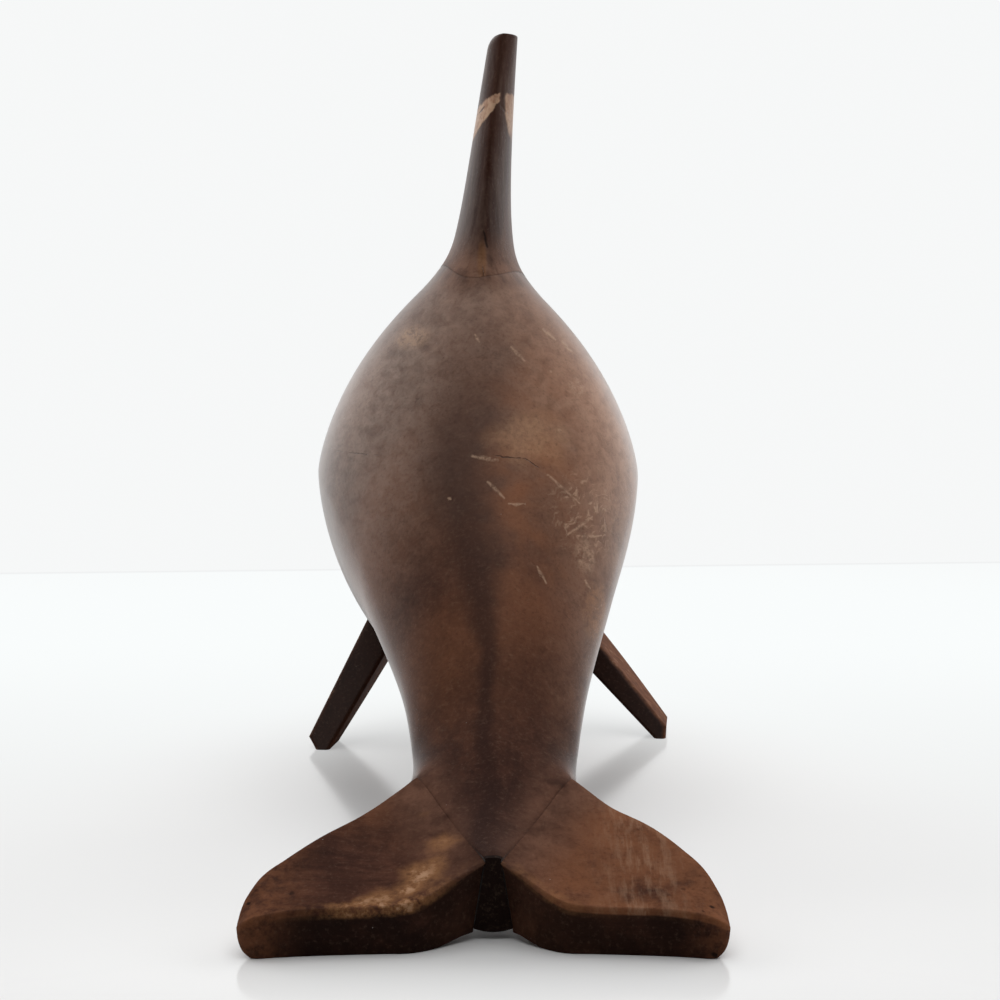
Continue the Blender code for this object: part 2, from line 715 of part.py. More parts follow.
def main():
    clear_scene()
    parts = new_collection("carved_whale")
    cutters = new_collection("cutters")
    dark = wood("dark_hardwood", WOOD_DARK, 0.45)
    warm = wood("warm_hardwood", WOOD_WARM, 0.5)
    pale = wood("dowel_wood", WOOD_PALE, 0.6)
    putty = wood("wood_filler", FILLER_COLOUR, 0.75)

    body = trunk("body", parts)
    depth = 2 * GROUND_DEPTH
    ground = box(
        "ground", (4 * LENGTH, 4 * LENGTH, depth), Matrix.Translation((0, 0, -depth / 2)), cutters
    )
    flukes, fluke_dowels = make_flukes(parts, cutters, body, ground)
    fin, tip, filler, pin, fin_dowels = make_fin(parts, cutters, body)
    flippers = [
        make_flipper("left_flipper", LEFT_FLIPPER, parts, cutters, body),
        make_flipper("right_flipper", RIGHT_FLIPPER, parts, cutters, body),
    ]
    make_eyes(cutters, body)
    make_mouth(cutters, body)

    for piece in (body, fin, tip, *flippers):
        finish(piece, dark)
    for piece in flukes:
        finish(piece, warm)
    for piece in (pin, *fin_dowels, *fluke_dowels):
        finish(piece, pale)
    finish(filler, putty)


main()
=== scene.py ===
"""The looks of a stout whale carved in dark hardwood, worn and once mended.

The axes are the part's own: the tail points along -Y, the head along +Y, and the table is the
plane Z = 0. "Ahead" is a distance forward from the hindmost point of the flukes. The carved
shapes follow the rules of the part's source with many more rings. They differ from its solids
where the photo shows softer forms: hollowed joints at the fin's and the flukes' roots, a
blunter rear arris on the fin, a rounded fin tip, and a narrower end of the stock in the notch.
"""

import math
from collections import namedtuple

import bmesh
import bpy
import numpy as np
from mathutils import Matrix, Vector


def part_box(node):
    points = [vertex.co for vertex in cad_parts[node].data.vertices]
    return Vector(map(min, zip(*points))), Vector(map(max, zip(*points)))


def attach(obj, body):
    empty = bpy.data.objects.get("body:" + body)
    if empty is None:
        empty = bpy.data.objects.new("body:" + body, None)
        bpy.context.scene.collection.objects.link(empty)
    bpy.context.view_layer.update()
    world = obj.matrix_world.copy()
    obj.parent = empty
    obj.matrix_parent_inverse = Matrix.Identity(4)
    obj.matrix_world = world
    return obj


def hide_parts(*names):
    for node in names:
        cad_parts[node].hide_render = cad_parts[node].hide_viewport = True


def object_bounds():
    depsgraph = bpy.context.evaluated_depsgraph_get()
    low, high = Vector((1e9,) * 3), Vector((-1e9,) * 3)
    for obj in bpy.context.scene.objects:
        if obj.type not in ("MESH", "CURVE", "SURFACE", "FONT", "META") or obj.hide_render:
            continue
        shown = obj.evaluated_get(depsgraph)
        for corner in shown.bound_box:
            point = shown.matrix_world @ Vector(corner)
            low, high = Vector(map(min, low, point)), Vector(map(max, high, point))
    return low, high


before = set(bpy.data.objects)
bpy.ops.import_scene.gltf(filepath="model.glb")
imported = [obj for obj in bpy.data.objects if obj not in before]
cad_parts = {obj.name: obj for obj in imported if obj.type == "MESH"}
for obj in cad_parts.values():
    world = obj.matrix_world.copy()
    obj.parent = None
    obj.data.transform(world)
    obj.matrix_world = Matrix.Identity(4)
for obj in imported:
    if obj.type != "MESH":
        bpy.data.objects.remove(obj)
CAD_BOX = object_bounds()

bl_info = {
    "name": "Carved hardwood whale",
    "version": (1, 0, 0),
    "blender": (4, 5, 0),
    "location": "3D View > Sidebar > Carving",
    "description": "Shapes, woods, wear and light of a carved whale on a white table",
    "category": "Object",
}

MM = 0.001
TO_MM = 1000.0
HALF_TURN = math.pi
QUARTER_TURN = math.pi / 2
FAR_AWAY = 1.0
TINY = 1e-12
HALVINGS = 40
SLOPE_STEP = 0.2 * MM
SHARP_ANGLE = math.radians(50)
PEG_SHARP_ANGLE = math.radians(35)

# The carver's lines of the trunk, at shares of the length from the tail end. Widths and
# drifts are shares of the half girth, heights are shares of the ridge's height
Station = namedtuple("Station", "share half_width keel flank ridge roof belly drift")
STATIONS = (
    Station(0.03, 0.193, 0.008, 0.060, 0.097, 1.7, 2.0, 0.007),
    Station(0.08, 0.302, 0.021, 0.086, 0.149, 1.6, 2.0, 0.005),
    Station(0.12, 0.374, 0.041, 0.126, 0.205, 1.6, 2.0, 0.002),
    Station(0.17, 0.394, 0.067, 0.178, 0.290, 1.7, 2.0, 0.012),
    Station(0.24, 0.488, 0.126, 0.283, 0.454, 1.8, 2.0, 0.007),
    Station(0.33, 0.700, 0.178, 0.431, 0.677, 1.75, 1.9, -0.027),
    Station(0.41, 0.874, 0.178, 0.528, 0.870, 1.6, 1.8, -0.065),
    Station(0.48, 0.964, 0.141, 0.565, 0.981, 1.46, 1.7, -0.094),
    Station(0.56, 1.0, 0.112, 0.573, 1.0, 1.44, 1.6, -0.104),
    Station(0.65, 0.978, 0.097, 0.543, 0.959, 1.5, 1.65, -0.094),
    Station(0.74, 0.894, 0.104, 0.498, 0.870, 1.75, 1.75, -0.075),
    Station(0.84, 0.773, 0.141, 0.454, 0.751, 1.9, 1.9, -0.058),
    Station(1.0, 0.580, 0.208, 0.416, 0.610, 2.0, 2.0, -0.046),
)
STOCK_START_SHARE = 0.029
NOSE_SHARE = 0.1613
NOSE_BLUNTNESS = 2.3
RIDGE_PINCH = 0.35
RIDGE_PINCH_POWER = 6

# The flukes' lines at shares of the half span; lengths are shares of the root's reach forward
# and heights are shares of the root's height
Lobe = namedtuple("Lobe", "share rear front top_rear top_front under_rear under_front")
LOBES = (
    Lobe(0.0, 0.217, 1.0, 0.474, 1.0, 0.050, 0.316),
    Lobe(0.12, 0.185, 0.978, 0.455, 0.960, 0.040, 0.316),
    Lobe(0.30, 0.074, 0.891, 0.356, 0.893, -0.040, 0.316),
    Lobe(0.43, 0.061, 0.778, 0.328, 0.846, -0.051, 0.296),
    Lobe(0.57, 0.050, 0.626, 0.324, 0.751, -0.051, 0.237),
    Lobe(0.71, 0.037, 0.478, 0.324, 0.672, -0.051, 0.158),
    Lobe(0.84, 0.017, 0.343, 0.308, 0.565, -0.047, 0.099),
    Lobe(0.93, 0.0, 0.250, 0.277, 0.470, -0.008, 0.079),
    Lobe(1.0, 0.017, 0.150, 0.213, 0.285, 0.087, 0.119),
)

# The parts of a fluke's fore-and-aft outline, with the number of points in each
LOBE_PARTS = (("rear", 16), ("arris", 8), ("top", 46), ("nose", 26), ("under", 34), ("toe", 6))

SWELL_LIFT = 0.12
SWELL_POWER = 2.4
FLUKE_EDGE_SHARE = 0.2
FLUKE_SHOULDER = 0.94
FLUKE_EASED_SHARE = 0.25
FLUKE_NOSE_ROUNDING = 0.2
FLUKE_NOSE_FULLNESS = 1.45
CHEEK_FRONT_SHARE = 0.1387
CHEEK_REAR_HALF = 0.3 * MM
CHEEK_DRIFT = 0.3 * MM
CHEEK_JOINT = 0.03 * MM
ROOT_HOLLOW = 13 * MM
ROOT_REACH = 12 * MM
NOTCH_DEPTH = 1.2 * MM
NOTCH_SPLAY = 2.2 * MM
STOCK_SPLAY = 1.1 * NOTCH_SPLAY
NOTCH_BEND = 7 * MM
NOTCH_REACH = 15 * MM
NOTCH_SPLAY_HEIGHT = 11.2 * MM
NOTCH_UNDER_RISE = 0.22
STOCK_RECESS = 2.3 * MM

# The dorsal fin's places along the length, as shares of it
FIN_REAR_FOOT = 0.429
FIN_FRONT_FOOT = 0.632
FIN_REAR_TOP = 0.461
FIN_FRONT_TOP = 0.506
FIN_FOOT_DROP = 19 * MM
FIN_FRONT_BULGE = 5 * MM
FIN_REAR_HOLLOW = 3 * MM
FIN_TAPER = 0.12
FIN_FLARE = 6 * MM
FIN_LEAN_POWER = 1.4
FIN_FLARE_HEIGHT = 9 * MM
FIN_FLARE_DROP = 6.5 * MM
FIN_FOOT_DRIFT = -3.9 * MM
FIN_TOP_DRIFT = 2.4 * MM
FIN_REAR_SHARPNESS = 0.65
FIN_FRONT_ROUNDNESS = 0.5
FIN_CROWN = 0.4 * MM
TIP_CORNER_WIDTH = 1.9 * MM
TIP_CORNER_HEIGHT = 3.2 * MM
TIP_FALL = 0.1
FIN_SEAT = 0.06 * MM
FIN_COLUMNS = 180
FIN_MIDDLE_POINTS = 20
FOOT_HOLLOW = 9 * MM
BREAK_BELOW_TOP = 19 * MM
BREAK_SLANT = math.radians(20)

Flipper = namedtuple(
    "Flipper",
    "side tip_ahead reach lean toe_out tip_thickness root_thickness root_height bevel_height",
)
LEFT_FLIPPER = Flipper(
    side=-1,
    tip_ahead=184 * MM,
    reach=52.4 * MM,
    lean=math.radians(26),
    toe_out=math.radians(-6),
    tip_thickness=6.7 * MM,
    root_thickness=12 * MM,
    root_height=52 * MM,
    bevel_height=2.9 * MM,
)
RIGHT_FLIPPER = Flipper(
    side=1,
    tip_ahead=199 * MM,
    reach=51 * MM,
    lean=math.radians(40.5),
    toe_out=math.radians(6.2),
    tip_thickness=4.8 * MM,
    root_thickness=10.5 * MM,
    root_height=44 * MM,
    bevel_height=3 * MM,
)
FLIPPER_SWEEP = 0.9
FLIPPER_CHORD = 27 * MM
FLIPPER_TIP_CHORD = 15 * MM
FLIPPER_WIDENING = 26 * MM
FLIPPER_EDGE = 1.3 * MM
FLIPPER_BEVEL_SHARE = 0.48
MORTISE_CLEARANCE = 0.12 * MM

EYE_SHARE = 0.832
EYE_HEIGHT = 66 * MM
EYE_DIAMETER = 6 * MM
EYE_DEPTH = 1.2 * MM
MOUTH_CORNER_SHARE = 0.871
MOUTH_DROOP = 0.4
MOUTH_GROOVE = 1.4 * MM
MOUTH_CORNER_SIZE = 0.25
MOUTH_SWELL = 2.2

PIN_LENGTH = 15 * MM
PIN_NODE = "fin_tip_pin"
PEG_NODES = (
    "fin_dowel_rear",
    "fin_dowel_front",
    "fluke_dowel_rear",
    "fluke_dowel_front",
    PIN_NODE,
)
PEG_RINGS = 41
PEG_POINTS = 84
PEG_CHAMFER = 0.05
PEG_END_FULLNESS = 0.72
FLUTES = 14
FLUTE_SHARE = 0.02

# How finely each piece is carved: rings along it, points round it
STOCK_RINGS = 80
SHOULDER_RINGS = 130
CHEST_RINGS = 34
NOSE_RINGS = 42
TRUNK_POINTS = 216
FIN_MARGIN = 0.04
BLADE_RINGS = 130
BLADE_CROWDING = 1.25
CROWN_RINGS = 10
SADDLE_SHARES = (0.88, 0.6, 0.3, 0.1)
FLUKE_RINGS = 120
FLUKE_CROWDING = 0.9
BEVEL_RINGS = 8
PADDLE_RINGS = 60
PADDLE_CORNER_POINTS = 9
PADDLE_SIDE_POINTS = 14
MORTISE_RING_STEP = 4
MOUTH_RINGS = 61
MOUTH_POINTS = 14

# Ends of the flukes: where their rounding starts and how much of their section goes
FLUKE_END_START = 0.965
FLUKE_END_LOSS = 0.96
FLUKE_ROOT_LIFT = 5 * MM
FLUKE_ROOT_GUESS = 0.1
FLUKE_ROOT_PASSES = 12
FLUKE_SLOPE_RING = 8

# How much of a fluke's top and of its rear face the worn arris spreads over
ARRIS_SHARE_OF_TOP = 1 / 9
ARRIS_SHARE_OF_REAR = 0.2

# Where the photographed wear lies on the rounded back, seen square on from behind: X and Z
Mark = namedtuple("Mark", "start end width")
SCRATCHES = (
    Mark((12.1, 78.4), (19.2, 72.2), 0.45),
    Mark((16.2, 65.8), (21.9, 69.1), 0.55),
    Mark((19.4, 65.3), (24.0, 64.9), 0.45),
    Mark((19.8, 56.2), (20.9, 54.6), 0.4),
    Mark((-4.7, 82.6), (0.9, 81.8), 0.62),
    Mark((-1.1, 77.2), (2.4, 73.9), 0.5),
    Mark((3.4, 72.6), (6.9, 72.5), 0.4),
    Mark((9.3, 59.8), (11.2, 56.6), 0.45),
    Mark((-4.3, 110.2), (-3.4, 108.5), 0.5),
    Mark((4.1, 107.3), (7.3, 104.1), 0.55),
    Mark((11.8, 112.0), (14.7, 109.4), 0.6),
    Mark((16.5, 109.0), (18.7, 106.6), 0.6),
    Mark((14.9, 88.2), (15.2, 88.0), 0.5),
    Mark((-9.6, 73.7), (-9.3, 73.5), 0.6),
    Mark((13.2, 101.8), (13.6, 101.5), 0.5),
    Mark((23.2, 50.7), (23.4, 50.5), 0.5),
)
CRACKS = (
    Mark((0.4, 82.7), (7.0, 82.0), 0.22),
    Mark((7.0, 82.0), (10.6, 79.8), 0.14),
    Mark((-38.7, 82.7), (-26.2, 82.5), 0.09),
)
FIN_CRACK = Mark((-2.5, 136.0), (-1.6, 132.0), 0.45)

# Black spots in the filler, seen the same way
FILLER_SPOTS = (
    Mark((1.6, 168.9), (2.0, 168.5), 0.6),
    Mark((1.8, 167.0), (2.6, 166.2), 0.7),
    Mark((-3.5, 166.2), (-2.4, 167.1), 0.4),
)

# Soft patches of wear: their middle, how far they reach along each axis, and the values of
# the torn noise between which they come in
Patch = namedtuple("Patch", "middle reach low high")
SCUFFED = (
    Patch((-19.5, -22.0, 110.0), (6.5, 16.0, 4.0), 0.3, 0.66),
    Patch((20.0, -66.5, 61.0), (3.5, 12.0, 5.5), 0.36, 0.7),
    Patch((19.6, -31.0, 98.0), (3.0, 12.0, 3.5), 0.38, 0.75),
)
CURLED = Patch((20.5, -60.0, 70.0), (12.0, 26.0, 14.0), 0.5, 0.72)
GILDED = Patch((8.2, -54.0, 86.5), (11.0, 24.0, 9.0), 0.15, 0.75)
FLAKED = Patch((22.0, -70.0, 49.5), (5.0, 16.0, 9.0), 0.35, 0.6)
FIN_WEDGE = Patch((-2.8, -19.0, 128.5), (1.6, 9.0, 6.5), 0.2, 0.5)

# The arc on the left fluke that is rubbed through to bare wood
Stroke = namedtuple("Stroke", "start end width strength")
WORN_ARC = (
    Stroke((-7.0, -131.0, 14.0), (-9.5, -139.5, 11.5), 4.4, 1.0),
    Stroke((-9.5, -139.5, 11.5), (-15.0, -148.0, 8.6), 5.0, 1.0),
    Stroke((-15.0, -148.0, 8.6), (-23.0, -151.0, 8.2), 3.4, 0.8),
    Stroke((-12.5, -124.0, 17.0), (-11.0, -129.0, 15.5), 2.6, 0.6),
)

# Each piece's grain: the wood's figure is longest along the axis with the smallest number
TRUNK_GRAIN = (1.0, 0.1, 1.0)
FIN_GRAIN = (1.0, 1.0, 0.12)
FLUKE_GRAIN = (0.13, 1.0, 1.0)
FLIPPER_GRAIN = (0.7, 0.35, 0.3)

# Where colours change, in millimetres: the start and the end of a change, along Y, Z or X
BACK_ENDS = (-2.0, 14.0)
FRONT_LESS_DRY_AND_LIT = (-30.0, 40.0)
STOCK_END_SHADE = (-143.55, -143.3)
NOTCH_ALONG = (-128.0, -104.0)
FIN_ARRIS_ENDS = (-9.0, -4.0)
FIN_CRACK_ENDS = (-10.0, -2.0)
CROWN_DRY_AND_LIT = (50.0, 108.0)
BACK_OILED = (24.0, 84.0)
TAIL_DARK = (20.0, 52.0)
STRIPE_ENDS = (84.0, 128.0)
STRIPE_WIDENS = (40.0, 80.0)
FLANKS_DRY_AND_LIT = (8.0, 34.0)
RIGHT_DRIER_AND_LIT = (-20.0, 10.0)
GREY_TO_TAN = (-26.0, 10.0)
GLUE_SIDE = (-9.0, -2.0)
NOTCH_ACROSS = (0.5, 9.0)
RIGHT_FLUKE_RED = (-4.0, 10.0)
FLUKE_TIPS_RED = (28.0, 41.0)
FLUKE_TIPS_PITTED = (30.0, 38.0)
RIGHT_FLIPPER_RED = (-10.0, 10.0)

# The same for how far from a joint the wood is still dark or mottled by it
GLUE_WIDTH = (0.1, 0.45)
SEAM_BLEND = (0.5, 7.0)
ROOT_BLEND = (1.0, 9.0)
FOOT_BLEND = (0.5, 12.0)
FLUKE_SEAM_BLEND = (0.5, 11.0)

# Bands of colour, in millimetres: the middle and how far it reaches on either side
WARM_ACROSS = (7.0, 26.0)
WARM_UP = (78.0, 50.0)
SHADE_ACROSS = (-14.0, 16.0)
SHADE_UP = (56.0, 26.0)
STRIPE_BEND = (80.0, 32.0)
PALE_STREAKS = (27.0, 12.0)

# The fin leans, so its right side lies beyond a slanting line through its rear arris
FIN_RIGHTWARD = (1.0, 0.0, -0.114)
FIN_ARRIS_OFFSET = 14.2

# The filler's two patches on the fin, seen from behind, in millimetres
LEFT_SMEAR_SLOPE = 0.745
LEFT_SMEAR_HEIGHT = 167.8
LEFT_SMEAR_END = (1.2, 1.8)
RIGHT_SMEAR_START = 2.5
RIGHT_SMEAR_KNEE = 165.3
RIGHT_SMEAR_BOTTOM = (159.5, 163.0)
RIGHT_SMEAR_TOP = (169.2, 169.9)

# The table: its tones in millimetres, and the glossy part of it round the carving, outside
# which it is seen as plain white
SQUARE = ((-1, -1), (1, -1), (1, 1), (-1, 1))
TABLE_REACH = 30.0
TABLE_DROP = 0.05 * MM
TABLE_NEAR_TO_FAR = (-260.0, 260.0)
TABLE_FADES_OUT = (420.0, 900.0)
TABLE_EDGE_SLANT = 0.12
TABLE_EDGE_BLUR = (-2.0, 3.0)
TABLE_EDGE_LINE = (0.0, 9.0)
GLOSS_MIDDLE = (0.0, -110.0, 0.0)
GLOSS_SQUASH = (1.0, 0.6, 0.0)
GLOSS_ENDS = (55.0, 150.0)
GLOSS_REAR = (-195.0, -154.0)

# The lamps' places and sizes in metres
LAMP_TARGET = (0.0, 0.0, 0.08)
LEFT_LAMP_PLACE = (-0.75, 0.45, 0.4)
RIGHT_LAMP_PLACE = (0.75, 0.4, 0.4)
TOP_LAMP_PLACE = (0.0, -0.1, 1.3)
SIDE_LAMP_SIZE = 0.7
TOP_LAMP_SIZE = 1.5

# The photograph's camera: its place, and its lens in the picture's pixels
CAMERA_BACK = 301.5 * MM
CAMERA_HEIGHT = 95 * MM
CAMERA_ASIDE = 1.5 * MM
FOCAL_PIXELS = 1800
FRAME_PIXELS = 1000
HORIZON_PIXELS = 100
SENSOR_WIDTH = 36.0
NEAREST_SEEN = 0.01


# Shape rules


def smooth_values(places, values, at):
    """Values at many places on the smooth curve that passes through the given ones."""
    places = np.asarray(places)
    values = np.asarray(values)
    last = len(places) - 1
    order = np.arange(last + 1)
    low = np.maximum(order - 1, 0)
    high = np.minimum(order + 1, last)
    slopes = (values[high] - values[low]) / (places[high] - places[low])
    left = np.clip(np.searchsorted(places, at) - 1, 0, last - 1)
    width = places[left + 1] - places[left]
    u = (at - places[left]) / width
    rise = values[left + 1] - values[left]
    a = slopes[left] * width - rise
    b = rise - slopes[left + 1] * width
    return values[left] + u * rise + u * (1 - u) * ((1 - u) * a + u * b)


def read_table(table, at):
    """The table's lines at many shares along it, between its own rows."""
    columns = list(zip(*table))
    rows = [smooth_values(columns[0], column, at) for column in columns[1:]]
    return type(table[0])(at, *rows)


def signed_power(value, power):
    return np.sign(value) * np.abs(value) ** power


def even_turns(count):
    """Angles spread evenly all the way round."""
    return np.linspace(0, 2 * HALF_TURN, count, endpoint=False)


def unit(vectors):
    return vectors / np.maximum(np.linalg.norm(vectors, axis=-1, keepdims=True), TINY)


def trunk_lines(sizes, ahead):
    row = read_table(STATIONS, np.asarray(ahead) / sizes.length)
    return row._replace(
        half_width=row.half_width * sizes.half_girth,
        keel=row.keel * sizes.ridge_height,
        flank=row.flank * sizes.ridge_height,
        ridge=row.ridge * sizes.ridge_height,
        drift=row.drift * sizes.half_girth,
    )


def nose_rounding(sizes, ahead):
    """How much of its full size the head keeps at these distances from the tail end."""
    nose = NOSE_SHARE * sizes.length
    into = np.clip((ahead - (sizes.length - nose)) / nose, 0, 1)
    return (1 - into**NOSE_BLUNTNESS) ** (1 / NOSE_BLUNTNESS)


def trunk_skin(sizes, ahead, angle, grow=0.0):
    """Points of the trunk's skin; angle 0 is its +X side and a quarter turn is the ridge."""
    lines = trunk_lines(sizes, ahead)
    shrink = nose_rounding(sizes, ahead)
    up = np.sin(angle)
    above = up >= 0
    power = np.where(above, lines.roof, lines.belly)
    reach = np.where(above, lines.ridge - lines.flank, lines.flank - lines.keel)
    pinch = 1 - RIDGE_PINCH * np.maximum(up, 0) ** RIDGE_PINCH_POWER
    out = pinch * (lines.half_width * shrink + grow) * signed_power(np.cos(angle), 2 / power)
    x = lines.drift + out
    z = lines.flank + (reach * shrink + grow) * signed_power(up, 2 / power)
    return np.stack(np.broadcast_arrays(x, ahead - sizes.length / 2, z), axis=-1)


def outside_ridge(sizes, points):
    """How far to the side of the trunk's roof these points are; negative is inside it."""
    ahead = points[..., 1] + sizes.length / 2
    lines = trunk_lines(sizes, ahead)
    climb = np.clip((points[..., 2] - lines.flank) / (lines.ridge - lines.flank), 0, 1)
    up = climb ** (lines.roof / 2)
    pinch = 1 - RIDGE_PINCH * up**RIDGE_PINCH_POWER
    half = pinch * lines.half_width * (1 - up * up) ** (1 / lines.roof)
    return np.abs(points[..., 0] - lines.drift) - half


def roof_height(sizes, points):
    """The level of the trunk's roof over or under each of these points."""
    lines = trunk_lines(sizes, points[..., 1] + sizes.length / 2)
    low = lines.flank
    high = lines.ridge
    for _ in range(HALVINGS):
        middle = (low + high) / 2
        tried = np.stack([points[..., 0], points[..., 1], middle], axis=-1)
        out = outside_ridge(sizes, tried) > 0
        high = np.where(out, middle, high)
        low = np.where(out, low, middle)
    return high


def cheek_half(sizes, ahead):
    """Half the distance between the stock's flat cheeks."""
    rear = STOCK_START_SHARE * sizes.length
    front = CHEEK_FRONT_SHARE * sizes.length
    front_half = trunk_lines(sizes, front).half_width
    return CHEEK_REAR_HALF + (front_half - CHEEK_REAR_HALF) * (ahead - rear) / (front - rear)


def lobe_outline():
    """The part that each point of a fluke's outline belongs to, and how far along it."""
    names, counts = zip(*LOBE_PARTS)
    ways = [(np.arange(count) + 0.5) / count for count in counts]
    return np.repeat(names, counts), np.concatenate(ways)


def lobe_skin(sizes, shares, side):
    """Points of a fluke's skin: one column for each point of its outline, rows outwards."""
    names, ways = lobe_outline()
    row = read_table(LOBES, shares)
    reach = sizes.fluke_reach
    height = sizes.fluke_height
    span = sizes.left_span if side < 0 else sizes.right_span
    swell = sizes.left_swell if side < 0 else sizes.right_swell
    swell = swell * np.sin(HALF_TURN * np.clip(shares, 0, 1) ** SWELL_POWER)
    rear = row.rear * reach
    front = row.front * reach + swell
    top_rear = row.top_rear * height
    top_front = row.top_front * height + SWELL_LIFT * swell
    under_rear = row.under_rear * height
    under_front = row.under_front * height
    edge = np.minimum(sizes.fluke_edge, (front - rear) * FLUKE_EDGE_SHARE)
    shoulder = rear + (front - rear) * FLUKE_SHOULDER
    middle = (top_front + under_front) / 2
    rise = top_front - middle
    eased = FLUKE_NOSE_ROUNDING * rise
    lip = rear + edge / 2
    turn = ways * QUARTER_TURN
    sweep = ways * HALF_TURN
    late = np.maximum(ways - 1 + FLUKE_EASED_SHARE, 0) / FLUKE_EASED_SHARE
    early = np.maximum(FLUKE_EASED_SHARE - ways, 0) / FLUKE_EASED_SHARE
    fullness = 2 / FLUKE_NOSE_FULLNESS
    dish = sizes.fluke_dish * np.sin(HALF_TURN * ways)
    shapes = {
        "rear": (rear, under_rear + edge + ways * (top_rear - under_rear - 2 * edge)),
        "arris": (
            rear + edge / 2 * (1 - np.cos(turn)),
            top_rear - edge + edge * np.sin(turn),
        ),
        "top": (
            lip + ways * (shoulder - lip),
            top_rear + ways * (top_front - top_rear) - dish - eased * late**2,
        ),
        "nose": (
            shoulder + (front - shoulder) * np.sin(sweep) ** fullness,
            middle + (rise - eased) * signed_power(np.cos(sweep), fullness),
        ),
        "under": (
            shoulder - ways * (shoulder - lip),
            under_front - ways * (under_front - under_rear) + eased * early**2,
        ),
        "toe": (
            rear + edge / 2 * (1 - np.sin(turn)),
            under_rear + edge * (1 - np.cos(turn)),
        ),
    }
    ahead = np.zeros_like(shares)
    level = np.zeros_like(shares)
    for name, (forward, up) in shapes.items():
        here = names == name
        ahead = np.where(here, forward, ahead)
        level = np.where(here, up, level)
    x = side * shares * span
    return np.stack([x, ahead - sizes.length / 2, level], axis=-1)


def fin_foot(sizes):
    return sizes.ridge_height - FIN_FOOT_DROP


def fin_climb(sizes, height):
    """How far up the fin a height is: 0 at its foot and 1 at its top."""
    return (height - fin_foot(sizes)) / (sizes.fin_height - fin_foot(sizes))


def fin_drift(sizes, height):
    lean = np.maximum(fin_climb(sizes, height), 0) ** FIN_LEAN_POWER
    return FIN_FOOT_DRIFT + lean * (FIN_TOP_DRIFT - FIN_FOOT_DRIFT)


def fin_skin(sizes, height, turn):
    """Points of the fin's skin at a height; half a turn leads from its rear to its front."""
    length = sizes.length
    climb = fin_climb(sizes, height)
    bow = np.sin(HALF_TURN * np.clip(climb, 0, 1))
    rear = length * (FIN_REAR_FOOT + climb * (FIN_REAR_TOP - FIN_REAR_FOOT))
    front = length * (FIN_FRONT_FOOT + climb * (FIN_FRONT_TOP - FIN_FRONT_FOOT))
    rear = rear + bow * FIN_REAR_HOLLOW
    front = front + bow * FIN_FRONT_BULGE
    thickness = sizes.fin_thickness + FIN_TAPER * (sizes.fin_height - height)
    flare_start = sizes.ridge_height - FIN_FLARE_DROP
    thickness = thickness + FIN_FLARE * np.exp((flare_start - height) / FIN_FLARE_HEIGHT)
    widest = FIN_REAR_SHARPNESS / (FIN_REAR_SHARPNESS + FIN_FRONT_ROUNDNESS)
    full = widest**FIN_REAR_SHARPNESS * (1 - widest) ** FIN_FRONT_ROUNDNESS
    share = (1 - np.cos(turn)) / 2
    half = share**FIN_REAR_SHARPNESS * (1 - share) ** FIN_FRONT_ROUNDNESS / full
    x = fin_drift(sizes, height) + np.sign(np.sin(turn)) * half * thickness / 2
    y = rear + share * (front - rear) - length / 2
    return np.stack(np.broadcast_arrays(x, y, height), axis=-1)


def fin_middle(sizes, height):
    turns = even_turns(FIN_MIDDLE_POINTS)
    return Vector(fin_skin(sizes, np.full(len(turns), height), turns).mean(axis=0))


def fin_foot_heights(sizes, turn):
    """Where each upright line of the fin's skin meets the ridge of the back."""
    low = np.full(len(turn), fin_foot(sizes))
    high = np.full(len(turn), sizes.ridge_height + FIN_CROWN)
    for _ in range(HALVINGS):
        middle = (low + high) / 2
        out = outside_ridge(sizes, fin_skin(sizes, middle, turn)) > FIN_SEAT
        high = np.where(out, middle, high)
        low = np.where(out, low, middle)
    return high


def back_normals(sizes, points):
    """Which way the trunk's roof faces at these points of it."""
    slopes = [
        outside_ridge(sizes, points + shift) - outside_ridge(sizes, points - shift)
        for shift in np.eye(3) * SLOPE_STEP
    ]
    return unit(np.stack(slopes, axis=-1))


class SoftJoint:
    """A rim where two carved skins meet, and the soft hollow worked along it."""

    def __init__(self, rim, one, other, reach):
        crease = np.arccos(np.clip(np.sum(one * other, axis=1), -1, 1))
        push = unit(one + other) * (reach / 2 * np.sin(crease / 2))[:, None]
        closed = np.linalg.norm(rim[0] - rim[-1]) < 5 * np.linalg.norm(rim[0] - rim[1])
        for _ in range(6):
            before = np.roll(push, 1, axis=0)
            after = np.roll(push, -1, axis=0)
            if not closed:
                before[0] = push[0]
                after[-1] = push[-1]
            push = (before + push + after) / 3
        self.rim = rim
        self.push = push
        self.reach = reach

    def worked(self, points, covered):
        """The points moved out to the hollow's skin, and how far from the rim they were."""
        flat = points.reshape(-1, 3)
        far = np.full(len(flat), FAR_AWAY)
        moved = flat.copy()
        inner = np.broadcast_to(covered, points.shape[:-1]).reshape(-1)
        low = self.rim.min(axis=0) - 2 * self.reach
        high = self.rim.max(axis=0) + 2 * self.reach
        close = np.flatnonzero(((flat > low) & (flat < high)).all(axis=1))
        gaps = np.linalg.norm(flat[close][:, None] - self.rim[None], axis=2)
        nearest = gaps.argmin(axis=1)
        far[close] = gaps.min(axis=1)
        share = np.clip(far[close] / self.reach, 0, 1)
        keep = np.where(inner[close], (1 - share**2) ** 2, (1 - share) ** 2)
        moved[close] += self.push[nearest] * keep[:, None]
        return moved.reshape(points.shape), far.reshape(points.shape[:-1])


